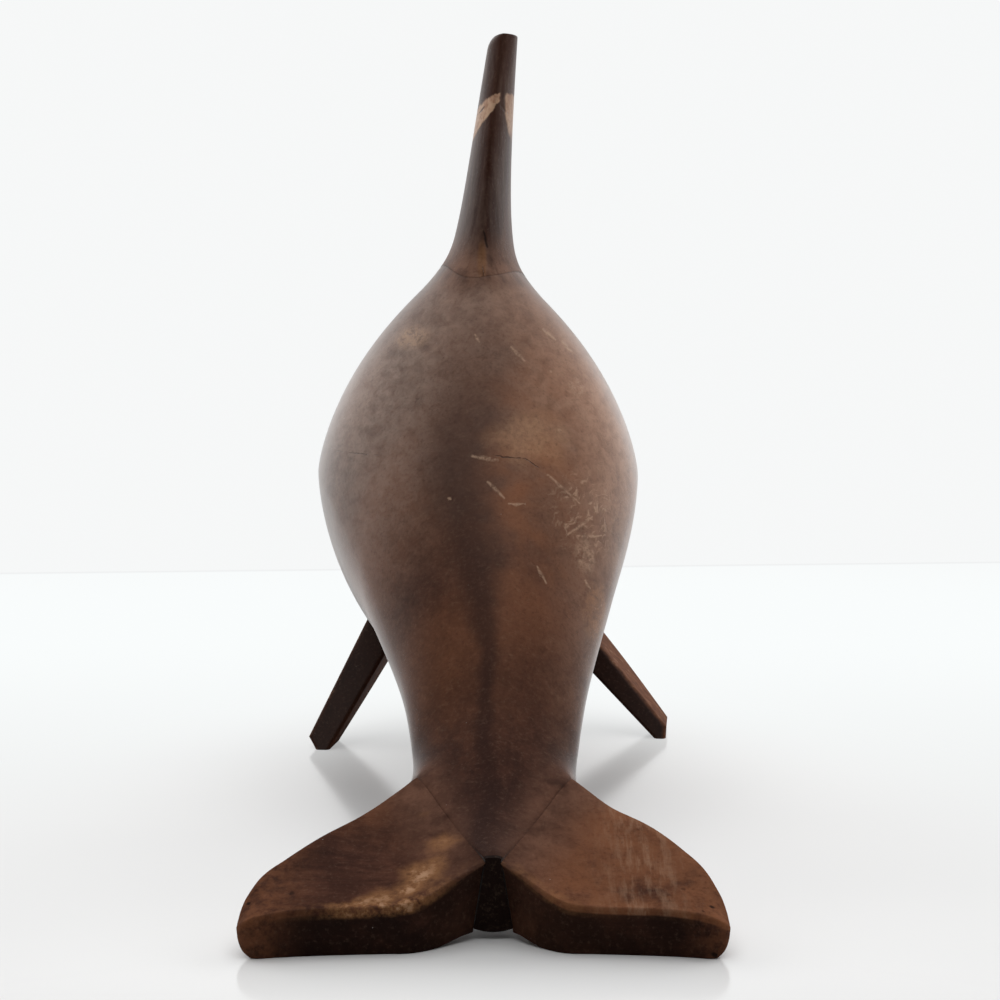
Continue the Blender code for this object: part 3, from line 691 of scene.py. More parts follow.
class FinFoot(SoftJoint):
    """The joint between the fin and the back."""

    def __init__(self, sizes):
        turn = even_turns(FIN_COLUMNS)
        heights = fin_foot_heights(sizes, turn)
        rim = fin_skin(sizes, heights, turn)
        along = np.roll(rim, -2, axis=0) - np.roll(rim, 2, axis=0)
        upward = fin_skin(sizes, heights + 1 * MM, turn) - rim
        blade = unit(np.cross(along, upward))
        blade *= np.sign(np.sum(blade * (rim - rim.mean(axis=0)), axis=1))[:, None]
        super().__init__(rim, blade, back_normals(sizes, rim), FOOT_HOLLOW)

    def covers(self, points):
        """Whether each point lies within the rim, seen from above."""
        half = FIN_COLUMNS // 2
        order = np.argsort(self.rim[:half, 1])
        y = points[..., 1]
        one = np.interp(y, self.rim[:half][order, 1], self.rim[:half][order, 0])
        order = np.argsort(self.rim[half:, 1])
        other = np.interp(y, self.rim[half:][order, 1], self.rim[half:][order, 0])
        low = np.minimum(one, other)
        high = np.maximum(one, other)
        ends = (y > self.rim[:, 1].min()) & (y < self.rim[:, 1].max())
        return ends & (points[..., 0] > low) & (points[..., 0] < high)


def flipper_ring(flipper, height, grow):
    """A level section of a flipper: a rectangle with rounded corners."""
    climb = height / flipper.root_height
    turn = QUARTER_TURN * min(height / FLIPPER_WIDENING, 1.0)
    chord = FLIPPER_TIP_CHORD + math.sin(turn) * (FLIPPER_CHORD - FLIPPER_TIP_CHORD)
    thickness = flipper.tip_thickness
    thickness += climb * (flipper.root_thickness - flipper.tip_thickness)
    aside = grow / math.cos(flipper.lean)
    behind = grow * math.hypot(1, FLIPPER_SWEEP)
    far = thickness / math.cos(flipper.lean) + aside
    near = flipper_near(flipper, height, thickness) - aside
    round_off = FLIPPER_EDGE + grow
    middles = (
        (round_off - behind, near + round_off),
        (chord + behind - round_off, near + round_off),
        (chord + behind - round_off, far - round_off),
        (round_off - behind, far - round_off),
    )
    corners = []
    for k, middle in enumerate(middles):
        turns = np.linspace(2 + k, 3 + k, PADDLE_CORNER_POINTS) * QUARTER_TURN
        around = np.stack([np.cos(turns), np.sin(turns)], axis=1)
        corners.append(np.array(middle) + round_off * around)
    parts = np.arange(1, PADDLE_SIDE_POINTS + 1)[:, None] / (PADDLE_SIDE_POINTS + 1)
    outline = []
    for corner, after in zip(corners, corners[1:] + corners[:1]):
        outline += [corner, corner[-1] + parts * (after[0] - corner[-1])]
    return np.concatenate(outline)


def flipper_near(flipper, height, thickness):
    """How far in from the outer line the bevelled tip starts at a height."""
    far = thickness / math.cos(flipper.lean)
    return FLIPPER_BEVEL_SHARE * far * max(0.0, 1 - height / flipper.bevel_height)


def flipper_place(sizes, flipper, height, outline):
    """The outline's points in the part's axes."""
    toe = flipper.toe_out
    forward = np.array([flipper.side * math.sin(toe), math.cos(toe), 0])
    inward = np.array([-flipper.side * math.cos(toe), math.sin(toe), 0])
    corner = np.array([
        flipper.side * (flipper.reach - math.tan(flipper.lean) * height),
        flipper.tip_ahead + FLIPPER_SWEEP * height - sizes.length / 2,
        height,
    ])
    return corner + outline[:, :1] * forward + outline[:, 1:] * inward


# Meshes


def new_piece(name, mesh):
    piece = bpy.data.objects.new(name, mesh)
    bpy.context.scene.collection.objects.link(piece)
    return piece


def carve(name, rows, start, end, **painted):
    """A closed skin over rows of points, closed on a point at each end.

    Where there is no start point, the halves of the first row mirror each other and are joined
    by rungs. Each painted array holds a value for every point and is kept on the mesh.
    """
    count, points = rows.shape[:2]
    k = np.arange(points)
    j = (k + 1) % points
    faces = []
    for r in range(count - 1):
        a = r * points
        b = a + points
        faces += np.stack([a + k, a + j, b + j, b + k], axis=1).tolist()
    base = (count - 1) * points
    verts = np.clip(np.concatenate([rows.reshape(-1, 3), [end]]), *np.array(CAD_BOX))
    faces += np.stack([base + k, base + j, np.full(points, count * points)], axis=1).tolist()
    if start is None:
        faces += rungs(points)
    else:
        verts = np.concatenate([verts, [start]])
        faces += np.stack([k, np.full(points, count * points + 1), j], axis=1).tolist()
    mesh = bpy.data.meshes.new(name)
    mesh.from_pydata(verts.tolist(), [], faces)
    for label, values in painted.items():
        layer = mesh.attributes.new(label, "FLOAT", "POINT")
        ends = [values[-1].mean(), values[0].mean()][: len(verts) - count * points]
        flat = np.concatenate([values.reshape(-1), ends])
        layer.data.foreach_set("value", flat.astype(np.float32))
    turn_outwards(mesh)
    return new_piece(name, mesh)


def rungs(points):
    """Faces between the two halves of a row."""
    half = points // 2
    faces = [(0, 1, points - 1), (half - 1, half, half + 1)]
    for k in range(1, half - 1):
        faces.append((k, k + 1, points - k - 1, points - k))
    return faces


def turn_outwards(mesh):
    shape = bmesh.new()
    shape.from_mesh(mesh)
    bmesh.ops.recalc_face_normals(shape, faces=shape.faces)
    shape.to_mesh(mesh)
    shape.free()


def smooth(piece, angle=SHARP_ANGLE):
    piece.data.shade_smooth()
    piece.data.set_sharp_from_angle(angle=angle)


def settle(piece, material, slot, *nodes):
    """Gives a finished piece its material, hangs it on the root body and hides the source's parts
    that it stands for.
    """
    piece.data.materials.clear()
    piece.data.materials.append(material)
    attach(piece, "root")
    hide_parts(*nodes)


def cut_away(piece, cutter):
    """Cuts another closed mesh out of a piece for good."""
    modifier = piece.modifiers.new("cut", "BOOLEAN")
    modifier.operation = "DIFFERENCE"
    modifier.solver = "EXACT"
    modifier.object = cutter
    graph = bpy.context.evaluated_depsgraph_get()
    mesh = bpy.data.meshes.new_from_object(piece.evaluated_get(graph))
    piece.modifiers.remove(modifier)
    old = piece.data
    piece.data = mesh
    bpy.data.meshes.remove(old)
    bpy.data.objects.remove(cutter, do_unlink=True)


def keep_between(piece, frame_matrix, low, high):
    """Keeps the piece between two levels of a slanted frame and closes the cuts."""
    shape = bmesh.new()
    shape.from_mesh(piece.data)
    normal = frame_matrix.to_3x3() @ Vector((0, 0, 1))
    for level, sign in ((low, -1), (high, 1)):
        if level is None:
            continue
        cut = bmesh.ops.bisect_plane(
            shape,
            geom=shape.verts[:] + shape.edges[:] + shape.faces[:],
            plane_co=frame_matrix @ Vector((0, 0, level)),
            plane_no=normal * sign,
            clear_outer=True,
        )
        rim = [item for item in cut["geom_cut"] if isinstance(item, bmesh.types.BMEdge)]
        bmesh.ops.contextual_create(shape, geom=rim)
    bmesh.ops.recalc_face_normals(shape, faces=shape.faces)
    shape.to_mesh(piece.data)
    shape.free()


# Shader maths


class Amount:
    """A number that varies over a surface; arithmetic on it adds Math nodes."""

    def __init__(self, finish, socket):
        self.finish = finish
        self.socket = socket

    def math(self, operation, first, second=None):
        node = self.finish.node(
            "ShaderNodeMath", {"operation": operation}, {0: first, 1: second}
        )
        return Amount(self.finish, node.outputs[0])

    def __add__(self, other):
        return self.math("ADD", self, other)

    __radd__ = __add__

    def __sub__(self, other):
        return self.math("SUBTRACT", self, other)

    def __rsub__(self, other):
        return self.math("SUBTRACT", other, self)

    def __mul__(self, other):
        return self.math("MULTIPLY", self, other)

    __rmul__ = __mul__

    def __truediv__(self, other):
        return self.math("DIVIDE", self, other)

    def __pow__(self, other):
        return self.math("POWER", self, other)

    def __abs__(self):
        return self.math("ABSOLUTE", self)

    def most(self, other):
        return self.math("MAXIMUM", self, other)

    def least(self, other):
        return self.math("MINIMUM", self, other)

    def ease(self, low, high):
        """0 up to the low value, 1 from the high one, and smooth between them."""
        node = self.finish.node(
            "ShaderNodeMapRange",
            {"interpolation_type": "SMOOTHSTEP", "clamp": True},
            {"Value": self, "From Min": low, "From Max": high, "To Min": 0.0, "To Max": 1.0},
        )
        return Amount(self.finish, node.outputs[0])

    def fade(self, low, high):
        """1 up to the low value, 0 from the high one."""
        return 1 - self.ease(low, high)

    def near(self, middle, half):
        """1 at the middle value, falling smoothly to 0 at half a width from it."""
        return abs(self - middle).fade(0.0, half)


class Place:
    """A place in millimetres; sums and products add Vector Math nodes."""

    def __init__(self, finish, socket):
        self.finish = finish
        self.socket = socket

    def vector(self, operation, other=None):
        return self.finish.node(
            "ShaderNodeVectorMath", {"operation": operation}, {0: self, 1: other}
        )

    def __add__(self, other):
        return Place(self.finish, self.vector("ADD", other).outputs[0])

    def __sub__(self, other):
        return Place(self.finish, self.vector("SUBTRACT", other).outputs[0])

    def __mul__(self, other):
        return Place(self.finish, self.vector("MULTIPLY", other).outputs[0])

    def scaled(self, amount):
        node = self.finish.node(
            "ShaderNodeVectorMath", {"operation": "SCALE"}, {0: self, "Scale": amount}
        )
        return Place(self.finish, node.outputs[0])

    def dot(self, other):
        return Amount(self.finish, self.vector("DOT_PRODUCT", other).outputs["Value"])

    def size(self):
        return Amount(self.finish, self.vector("LENGTH").outputs["Value"])

    def split(self):
        node = self.finish.node("ShaderNodeSeparateXYZ", inputs={0: self})
        return [Amount(self.finish, output) for output in node.outputs]


class Tint:
    """A colour that varies over a surface."""

    def __init__(self, socket):
        self.socket = socket


class Nodes:
    """A node tree in the making, with one method for each kind of thing it reads."""

    def __init__(self, tree):
        self.tree = tree

    def node(self, kind, settings=None, inputs=None):
        """Any node: its settings are set first, then its sockets' values or links."""
        made = self.tree.nodes.new(kind)
        for key, value in (settings or {}).items():
            setattr(made, key, value)
        for key, value in (inputs or {}).items():
            value = getattr(value, "socket", value)
            if isinstance(value, bpy.types.NodeSocket):
                self.tree.links.new(value, made.inputs[key])
            elif value is not None:
                made.inputs[key].default_value = value
        return made

    def place(self):
        """The object's own coordinates, in millimetres."""
        node = self.node("ShaderNodeTexCoord")
        return Place(self, node.outputs["Object"]).scaled(TO_MM)

    def painted(self, label):
        """A value kept on the mesh."""
        node = self.node("ShaderNodeAttribute", {"attribute_name": label})
        return Amount(self, node.outputs["Fac"])

    def noise(self, place, detail=2.0, roughness=0.5, distortion=0.0):
        node = self.node(
            "ShaderNodeTexNoise",
            {"noise_dimensions": "3D"},
            {
                "Vector": place,
                "Scale": 1.0,
                "Detail": detail,
                "Roughness": roughness,
                "Distortion": distortion,
            },
        )
        return Amount(self, node.outputs[0])

    def wobble(self, place, size, reach):
        """The place moved about by a noise of the given size and reach, in millimetres."""
        node = self.node(
            "ShaderNodeTexNoise",
            {"noise_dimensions": "3D"},
            {"Vector": place.scaled(1 / size), "Scale": 1.0, "Detail": 2.0},
        )
        shift = Place(self, node.outputs["Color"]) - (0.5, 0.5, 0.5)
        return place + shift.scaled(2 * reach)

    def cells(self, place, size):
        """The distance to the nearest scattered point, and that point's own random number."""
        node = self.node(
            "ShaderNodeTexVoronoi",
            {"feature": "F1", "distance": "EUCLIDEAN"},
            {"Vector": place, "Scale": 1 / size},
        )
        parts = self.node("ShaderNodeSeparateColor", inputs={0: node.outputs["Color"]})
        return Amount(self, node.outputs["Distance"]) * size, Amount(self, parts.outputs[0])

    def mix(self, factor, first, second, way="MIX"):
        """A mix of two colours."""
        node = self.node(
            "ShaderNodeMix",
            {"data_type": "RGBA", "blend_type": way, "clamp_factor": True},
            {0: factor, 6: opaque(first), 7: opaque(second)},
        )
        return Tint(node.outputs[2])

    def mark(self, place, start, end, width):
        """1 along a line between two points, thinning towards its ends and fading beside it."""
        run = np.subtract(end, start)
        back = place - tuple(start)
        share = back.dot(tuple(run)) / float(run @ run)
        share = share.most(0.0).least(1.0)
        along = self.node(
            "ShaderNodeVectorMath", {"operation": "SCALE"}, {0: tuple(run), "Scale": share}
        )
        off = (back - Place(self, along.outputs[0])).size()
        thin = abs(share - 0.45) * 0.9 + 0.6
        return (off * thin).fade(0.0, width * 0.8)

    def rear_mark(self, place, item):
        """A mark seen square on from behind; the place has to be flattened that way."""
        start = (item.start[0], 0.0, item.start[1])
        end = (item.end[0], 0.0, item.end[1])
        return self.mark(place, start, end, item.width)

    def patch(self, place, item, noise):
        """A soft round patch, fading to 0 at its reach along each axis, torn by a noise."""
        inverse = tuple(1 / reach for reach in item.reach)
        away = ((place - item.middle) * inverse).size()
        return away.fade(0.35, 1.0) * noise.ease(item.low, item.high)


class Finish(Nodes):
    """A material on one shader."""

    def __init__(self, name, shine=0.5, oil=0.0, dustiness=0.0):
        self.material = bpy.data.materials.new(name)
        self.material.use_nodes = True
        super().__init__(self.material.node_tree)
        self.shader = self.tree.nodes["Principled BSDF"]
        self.shader.inputs["Specular IOR Level"].default_value = shine
        self.shader.inputs["Coat Weight"].default_value = oil
        self.shader.inputs["Coat Roughness"].default_value = 0.4
        self.shader.inputs["Sheen Weight"].default_value = dustiness
        self.shader.inputs["Sheen Roughness"].default_value = 0.28

    def finish(self, colour, roughness, relief=None, depth=0.1, strength=1.0, oil=None):
        """Feeds the shader: colour, roughness and a relief whose depth is in millimetres."""
        self.tree.links.new(colour.socket, self.shader.inputs["Base Color"])
        self.tree.links.new(roughness.socket, self.shader.inputs["Roughness"])
        if oil is not None:
            self.tree.links.new(oil.socket, self.shader.inputs["Coat Weight"])
        if relief is not None:
            bump = self.node(
                "ShaderNodeBump",
                inputs={"Height": relief, "Distance": depth * MM, "Strength": strength},
            )
            self.tree.links.new(bump.outputs["Normal"], self.shader.inputs["Normal"])
        return self.material


def opaque(colour):
    if hasattr(colour, "socket"):
        return colour
    return (*colour, 1.0)


# Woods


def hardwood(finish, place, grain, looks, offset=(0.0, 0.0, 0.0)):
    """The dark hardwood's own figure: its colour, how open its pores are, and its relief."""
    figure = (place + offset) * grain
    streaks = finish.noise(figure.scaled(0.55), 5.0, 0.6, 0.5)
    fibres = finish.noise(figure.scaled(3.2), 3.0, 0.6)
    cloud = finish.noise((place + offset).scaled(0.028), 3.0, 0.55)
    blush = finish.noise((place + offset).scaled(0.017) + (7.0, 3.0, 5.0), 2.0, 0.5)
    tone = (streaks - 0.5) * 0.8 + (cloud - 0.5) * 1.1 + (fibres - 0.5) * 0.35 + 0.5
    colour = finish.mix(tone.ease(0.12, 0.88), looks.dark, looks.brown)
    colour = finish.mix(blush.ease(0.42, 0.72) * 0.55, colour, looks.red)
    pores = fibres.ease(0.58, 0.72)
    colour = finish.mix(pores * 0.45, colour, looks.dark)
    relief = streaks * 0.35 + fibres * 0.3 - pores * 0.25
    return colour, pores, relief


def speckle(finish, place, colour, roughness, looks, share=0.05):
    """The fine light and dark grain of a dull surface, and white dust in its pores."""
    grit = finish.noise(place.scaled(1.15), 3.0, 0.75)
    colour = finish.mix(grit.ease(0.5, 0.8) * 0.07, colour, looks.pale)
    colour = finish.mix(grit.fade(0.24, 0.5) * 0.34, colour, looks.dark)
    off, chance = finish.cells(place, 3.3)
    dust = off.fade(0.08, 0.24) * chance.ease(1 - share, 1 - share + 0.02)
    fine, odds = finish.cells(place + (5.0, 9.0, 2.0), 1.7)
    dust = dust.most(fine.fade(0.04, 0.14) * odds.ease(1 - share, 1 - share + 0.02) * 0.6)
    return finish.mix(dust * 0.5, colour, looks.dust), roughness + dust * 0.3


def joint_wood(finish, place, looks, dryness):
    """The mottled wood that two pieces share on both sides of a joint."""
    cloud = finish.noise(finish.wobble(place, 5.0, 2.0).scaled(0.16), 4.0, 0.6)
    colour = finish.mix(cloud.ease(0.1, 0.75), looks.dark, looks.brown)
    colour = finish.mix(cloud.ease(0.1, 0.8) * dryness, colour, looks.dry_and_lit)

    # Painted shade darkens it towards the notch, where the stock ends between the flukes
    x, y, _ = place.split()
    hollow = abs(x + 1.0).fade(*NOTCH_ACROSS) * y.fade(*NOTCH_ALONG)
    return finish.mix(hollow * 0.72, colour, looks.dark)


def trunk_wood(looks):
    finish = Finish("body_hardwood", 0.0, looks.oil, looks.dustiness)
    place = finish.place()
    x, y, z = place.split()
    colour, pores, relief = hardwood(finish, place, TRUNK_GRAIN, looks)
    rear = y.fade(*BACK_ENDS)

    # The crown and the flanks are paler, partly drier wood and partly painted light where the top
    # and the edges catch the light, mostly on the rear half; a painted shade darkens a low band
    # left of the middle
    ripple = finish.noise(place.scaled(0.07) + (3.0, 1.0, 8.0), 3.0, 0.6)
    mottle = finish.noise(finish.wobble(place, 5.0, 2.0) * (0.3, 0.1, 0.3), 5.0, 0.7)
    flanks = abs(x + 2.0).ease(*FLANKS_DRY_AND_LIT) * (x.ease(*RIGHT_DRIER_AND_LIT) * 0.27 + 0.28)
    dry_and_lit = z.ease(*CROWN_DRY_AND_LIT) * 0.5 + flanks
    dry_and_lit = dry_and_lit * (mottle.ease(0.28, 0.66) * 0.5 + 0.5) * (1 - y.ease(*FRONT_LESS_DRY_AND_LIT) * 0.66)
    tan = finish.mix(x.ease(*GREY_TO_TAN), looks.grey, looks.dry_and_lit)
    colour = finish.mix(dry_and_lit, colour, tan)
    warm = x.near(*WARM_ACROSS) * z.near(*WARM_UP) * (ripple.ease(0.3, 0.62) * 0.6 + 0.25)
    colour = finish.mix(warm, colour, looks.red)
    # Painted shade on a low band left of the middle, on the rear half
    low = x.near(*SHADE_ACROSS) * z.near(*SHADE_UP) * rear * mottle.fade(0.4, 0.8)
    colour = finish.mix(low * 0.4, colour, looks.dark)

    # A dark stripe runs up the middle of the back; the joints' wood is mottled and darker
    line = x + 1.6 + z.near(*STRIPE_BEND) * 5.5 + (ripple - 0.5) * 7.0
    wide = z.ease(*STRIPE_WIDENS) * 6.0 + 2.0
    stripe = (abs(line) / wide).fade(0.2, 1.7) * rear * z.fade(*STRIPE_ENDS)
    seam = finish.painted("seam")
    root = finish.painted("root")
    colour = finish.mix(seam.fade(*SEAM_BLEND), colour, joint_wood(finish, place, looks, 0.3))
    # Painted shade: the back is darker low down, towards the stock, on its rear half
    tail = z.fade(*TAIL_DARK) * (mottle.fade(0.35, 0.7) * 0.4 + 0.6) * rear
    colour = finish.mix(tail * 0.95, colour, looks.dark)
    colour = finish.mix(root.fade(*ROOT_BLEND), colour, joint_wood(finish, place, looks, 0.08))
    colour = finish.mix(stripe * 0.7, colour, looks.dark)
    # Painted shade: the stock's end face, recessed in the notch between the flukes, is painted
    # near black
    colour = finish.mix(y.fade(*STOCK_END_SHADE), colour, looks.near_black)

    # Rubbed and scratched places
    shaky = finish.wobble(place * (1.0, 0.0, 1.0), 1.6, 0.35)
    torn = finish.noise(place * (0.9, 0.3, 0.9), 5.0, 0.7)
    scuffs = back_scuffs(finish, place, shaky, torn, rear)
    old = finish.noise(finish.wobble(place, 6.0, 3.0) * (0.28, 0.9, 0.5), 4.0, 0.6)
    worn = old.ease(0.5, 0.8) * torn.ease(0.4, 0.7) * 0.12
    colour = finish.mix((scuffs * 0.6).most(worn), colour, looks.pale)
    gold = finish.patch(finish.wobble(place, 9.0, 4.0), GILDED, torn)
    flaked = finish.patch(place, FLAKED, mottle)
    colour = finish.mix(gold.most(flaked * 0.8) * 0.45, colour, looks.gold)
    colour = finish.mix(gold * 0.25, colour, looks.pale)
    cracks = glue_line(seam, x, ripple)
    for item in CRACKS:
        cracks = cracks.most(finish.rear_mark(shaky, item) * rear)
    colour = finish.mix(cracks * 0.9, colour, looks.near_black)

    roughness = looks.roughness + pores * 0.08 + scuffs * 0.15 + (ripple - 0.5) * 0.12
    colour, roughness = speckle(finish, place, colour, roughness, looks)
    relief = relief + scuffs * 0.5 - cracks * 1.2
    oil = z.ease(*BACK_OILED) * looks.oil * 0.8 + looks.oil * 0.2
    return finish.finish(colour, roughness, relief, 0.12, looks.relief, oil)


def back_scuffs(finish, place, shaky, torn, rear):
    """Where the back's fibres are torn: in patches and along its scratches."""
    turned = finish.node(
        "ShaderNodeVectorRotate",
        {"rotation_type": "Y_AXIS"},
        {"Vector": finish.wobble(place, 5.0, 2.4), "Angle": 0.7},
    )
    curls = finish.noise(Place(finish, turned.outputs[0]) * (0.22, 0.3, 1.1), 3.0, 0.6)
    scuffs = finish.patch(place, CURLED, curls)
    for item in SCUFFED:
        scuffs = scuffs.most(finish.patch(place, item, torn))
    broken = torn.ease(0.32, 0.58)
    for item in SCRATCHES:
        scuffs = scuffs.most(finish.rear_mark(shaky, item) * rear * broken)
    return scuffs


def glue_line(off, x, noise):
    """The broken dark line along the fin's joint, on its left side only."""
    return off.fade(*GLUE_WIDTH) * x.fade(*GLUE_SIDE) * noise.ease(0.3, 0.6) * 0.4


def fin_figure(finish, place, looks, torn):
    """The fin's dark wood, darkened all over as painted shade on its upright sides: left of its
    rear arris it is purple and cold, right of it warm.
    """
    _, y, _ = place.split()
    colour, _, relief = hardwood(finish, place, FIN_GRAIN, looks, (31.0, 4.0, 17.0))
    right = place.dot(FIN_RIGHTWARD) + FIN_ARRIS_OFFSET
    # Painted shade: the whole fin is darkened, for its upright sides that face away from the light
    colour = finish.mix(0.72, colour, looks.dark)
    colour = finish.mix(right.ease(0.3, 1.6) * torn.ease(0.25, 0.6) * 0.18, colour, looks.red)
    dull = finish.noise(place * (0.2, 0.2, 0.05), 3.0, 0.6)
    colour = finish.mix(dull.ease(0.4, 0.7) * 0.12, colour, looks.grey)
    # Painted shade darkens a line along the fin's rear arris
    arris = right.near(0.0, 1.3) * y.fade(*FIN_ARRIS_ENDS)
    return finish.mix(arris * 0.4, colour, looks.dark), relief


def fin_wood(looks):
    finish = Finish("fin_hardwood", 0.0, looks.oil * 0.6, looks.dustiness * 0.6)
    place = finish.place()
    x, y, _ = place.split()
    torn = finish.noise(place.scaled(0.5), 4.0, 0.7)
    colour, relief = fin_figure(finish, place, looks, torn)
    smear = filler_smear(finish, place)
    paste, _ = paste_colour(finish, place, looks)
    colour = finish.mix(smear, colour, paste)

    # Wedge of warm wood over the glue line, and the glue line itself
    foot = finish.painted("foot")
    colour = finish.mix(foot.fade(*FOOT_BLEND), colour, joint_wood(finish, place, looks, 0.3))
    wedge = finish.patch(place, FIN_WEDGE, torn)
    colour = finish.mix(wedge * 0.3, colour, looks.gold)
    shaky = finish.wobble(place * (1.0, 0.0, 1.0), 1.5, 0.3)
    near_black = finish.rear_mark(shaky, FIN_CRACK) * y.fade(*FIN_CRACK_ENDS)
    near_black = near_black.most(glue_line(foot, x, torn))
    colour = finish.mix(near_black * 0.9, colour, looks.near_black)
    roughness = looks.roughness + smear * 0.2 + (torn - 0.5) * 0.1 + foot.ease(2.0, 12.0) * 0.16
    colour, roughness = speckle(finish, place, colour, roughness, looks, 0.03)
    relief = relief + smear * 0.6 - near_black * 1.0
    return finish.finish(colour, roughness, relief, 0.1, looks.relief)


def filler_smear(finish, place):
    """Where filler covers the break and the wood beside it: a slanting patch on the left, a
    steep one on the right, and bare wood between them."""
    x, _, z = place.split()
    ragged = finish.noise(place * (0.5, 0.3, 0.45), 4.0, 0.62)
    rough = (ragged - 0.5) * 2.4
    half = (1.5 - x).most(0.0) * 0.4 + 1.0
    left = z - x * LEFT_SMEAR_SLOPE - LEFT_SMEAR_HEIGHT + rough
    left = (abs(left) / half).fade(0.8, 1.15) * (x + rough * 0.3).fade(*LEFT_SMEAR_END)
    aside = x - RIGHT_SMEAR_START
    below = (RIGHT_SMEAR_KNEE - z).most(0.0)
    right = (aside - below * 0.22 + rough * 0.2).ease(0.0, 0.6)
    right = right * (z + rough).ease(*RIGHT_SMEAR_BOTTOM)
    right = right * (z - aside * 0.6 + rough).fade(*RIGHT_SMEAR_TOP)
    return left.most(right * 0.85) * ragged.ease(0.15, 0.35)


def paste_colour(finish, place, looks):
    """The filler's own colour, with its dark spots, and how deep they go."""
    lumps = finish.noise(place.scaled(0.7), 5.0, 0.7)
    spots, chance = finish.cells(place, 1.9)
    pits = spots.fade(0.1, 0.45) * chance.ease(0.72, 0.76)
    colour = finish.mix(lumps.ease(0.3, 0.7), looks.filler, looks.pale)
    stains = finish.noise(place.scaled(0.32) + (2.0, 6.0, 1.0), 4.0, 0.7)
    colour = finish.mix(lumps.fade(0.3, 0.5) * 0.4, colour, looks.red)
    colour = finish.mix(stains.ease(0.46, 0.62) * 0.55, colour, looks.red)
    rear = place * (1.0, 0.0, 1.0)
    for item in FILLER_SPOTS:
        pits = pits.most(finish.rear_mark(rear, item))
    return finish.mix(pits * 0.85, colour, looks.dark), pits


def filler_paste(looks):
    finish = Finish("wood_filler", 0.0, looks.oil * 0.6, looks.dustiness * 0.6)
    place = finish.place()
    paste, pits = paste_colour(finish, place, looks)
    wood, relief = fin_figure(finish, place, looks, finish.noise(place.scaled(0.5), 4.0, 0.7))
    smear = filler_smear(finish, place)
    colour = finish.mix(smear, wood, paste)
    roughness = smear * 0.2 + 0.5
    return finish.finish(colour, roughness, relief * 0.5 - pits, 0.2, looks.relief)


def fluke_wood(looks):
    finish = Finish("fluke_hardwood", 0.0, looks.oil * 0.35)
    place = finish.place()
    x, _, _ = place.split()
    colour, pores, relief = hardwood(finish, place, FLUKE_GRAIN, looks, (11.0, 21.0, 3.0))
    torn = finish.noise(place.scaled(0.45), 5.0, 0.68)
    arris = finish.painted("arris")
    behind = finish.painted("behind")
    right = x.ease(*RIGHT_FLUKE_RED)
    cloud = finish.noise(finish.wobble(place, 6.0, 2.5).scaled(0.12), 5.0, 0.66)
    colour = finish.mix(right * cloud.ease(0.3, 0.62) * (1 - behind) * 0.55, colour, looks.red)
    # The left fluke is darker in clouds
    left_clouds_dark = (1 - right) * cloud.fade(0.4, 0.66)
    colour = finish.mix(left_clouds_dark * 0.55, colour, looks.dark)
    tips = abs(x).ease(*FLUKE_TIPS_RED)
    colour = finish.mix(tips * 0.45 * torn.ease(0.3, 0.6), colour, looks.red)
    # Painted shade darkens the flukes' rear faces, less towards the tips
    rear_face_shade = behind * tips.fade(0.1, 1.2) * (cloud.fade(0.4, 0.75) * 0.4 + 0.45)
    colour = finish.mix(rear_face_shade, colour, looks.near_black)
    seam = finish.painted("seam").fade(*FLUKE_SEAM_BLEND) * (1 - behind * 0.8)
    colour = finish.mix(seam, colour, joint_wood(finish, place, looks, 0.12))

    # The rear arris is rubbed through to orange wood, most of all on the left
    left = (abs(x + 19.0) / 13.0).fade(0.2, 1.2)
    reach = left.most((abs(x - 8.0) / 9.0).fade(0.2, 1.3) * 0.3)
    rubbed = arris.ease(0.25, 0.9) * torn.ease(0.32, 0.66) * (reach * 0.8 + 0.06)
    shaky = finish.wobble(place, 4.0, 1.2)
    broken = (torn.ease(0.25, 0.6) * 0.8 + 0.2) * (1 - behind)
    for item in WORN_ARC:
        stroke = finish.mark(shaky, item.start, item.end, item.width)
        rubbed = rubbed.most(stroke * broken * item.strength)
    colour = finish.mix(rubbed * 0.8, colour, looks.gold)
    colour = finish.mix(rubbed.ease(0.5, 1.0) * 0.55, colour, looks.pale)
    streaks = finish.noise(place * (0.8, 0.1, 0.3), 4.0, 0.65)
    streaked = right * streaks.ease(0.6, 0.8) * 0.4
    streaked = x.near(*PALE_STREAKS) * streaks.ease(0.42, 0.66) + streaked
    colour = finish.mix(streaked * (1 - behind) * 0.2, colour, looks.pale)

    # Pits at the tips
    spots, chance = finish.cells(finish.wobble(place, 1.5, 0.5), 2.6)
    pits = spots.fade(0.25, 0.65) * chance.ease(0.5, 0.55) * abs(x).ease(*FLUKE_TIPS_PITTED)
    colour = finish.mix(pits * 0.9, colour, looks.near_black)
    roughness = looks.roughness + pores * 0.08 + rubbed * 0.1 + pits * 0.2
    colour, roughness = speckle(finish, place, colour, roughness, looks)
    return finish.finish(colour, roughness, relief - pits, 0.14, looks.relief)


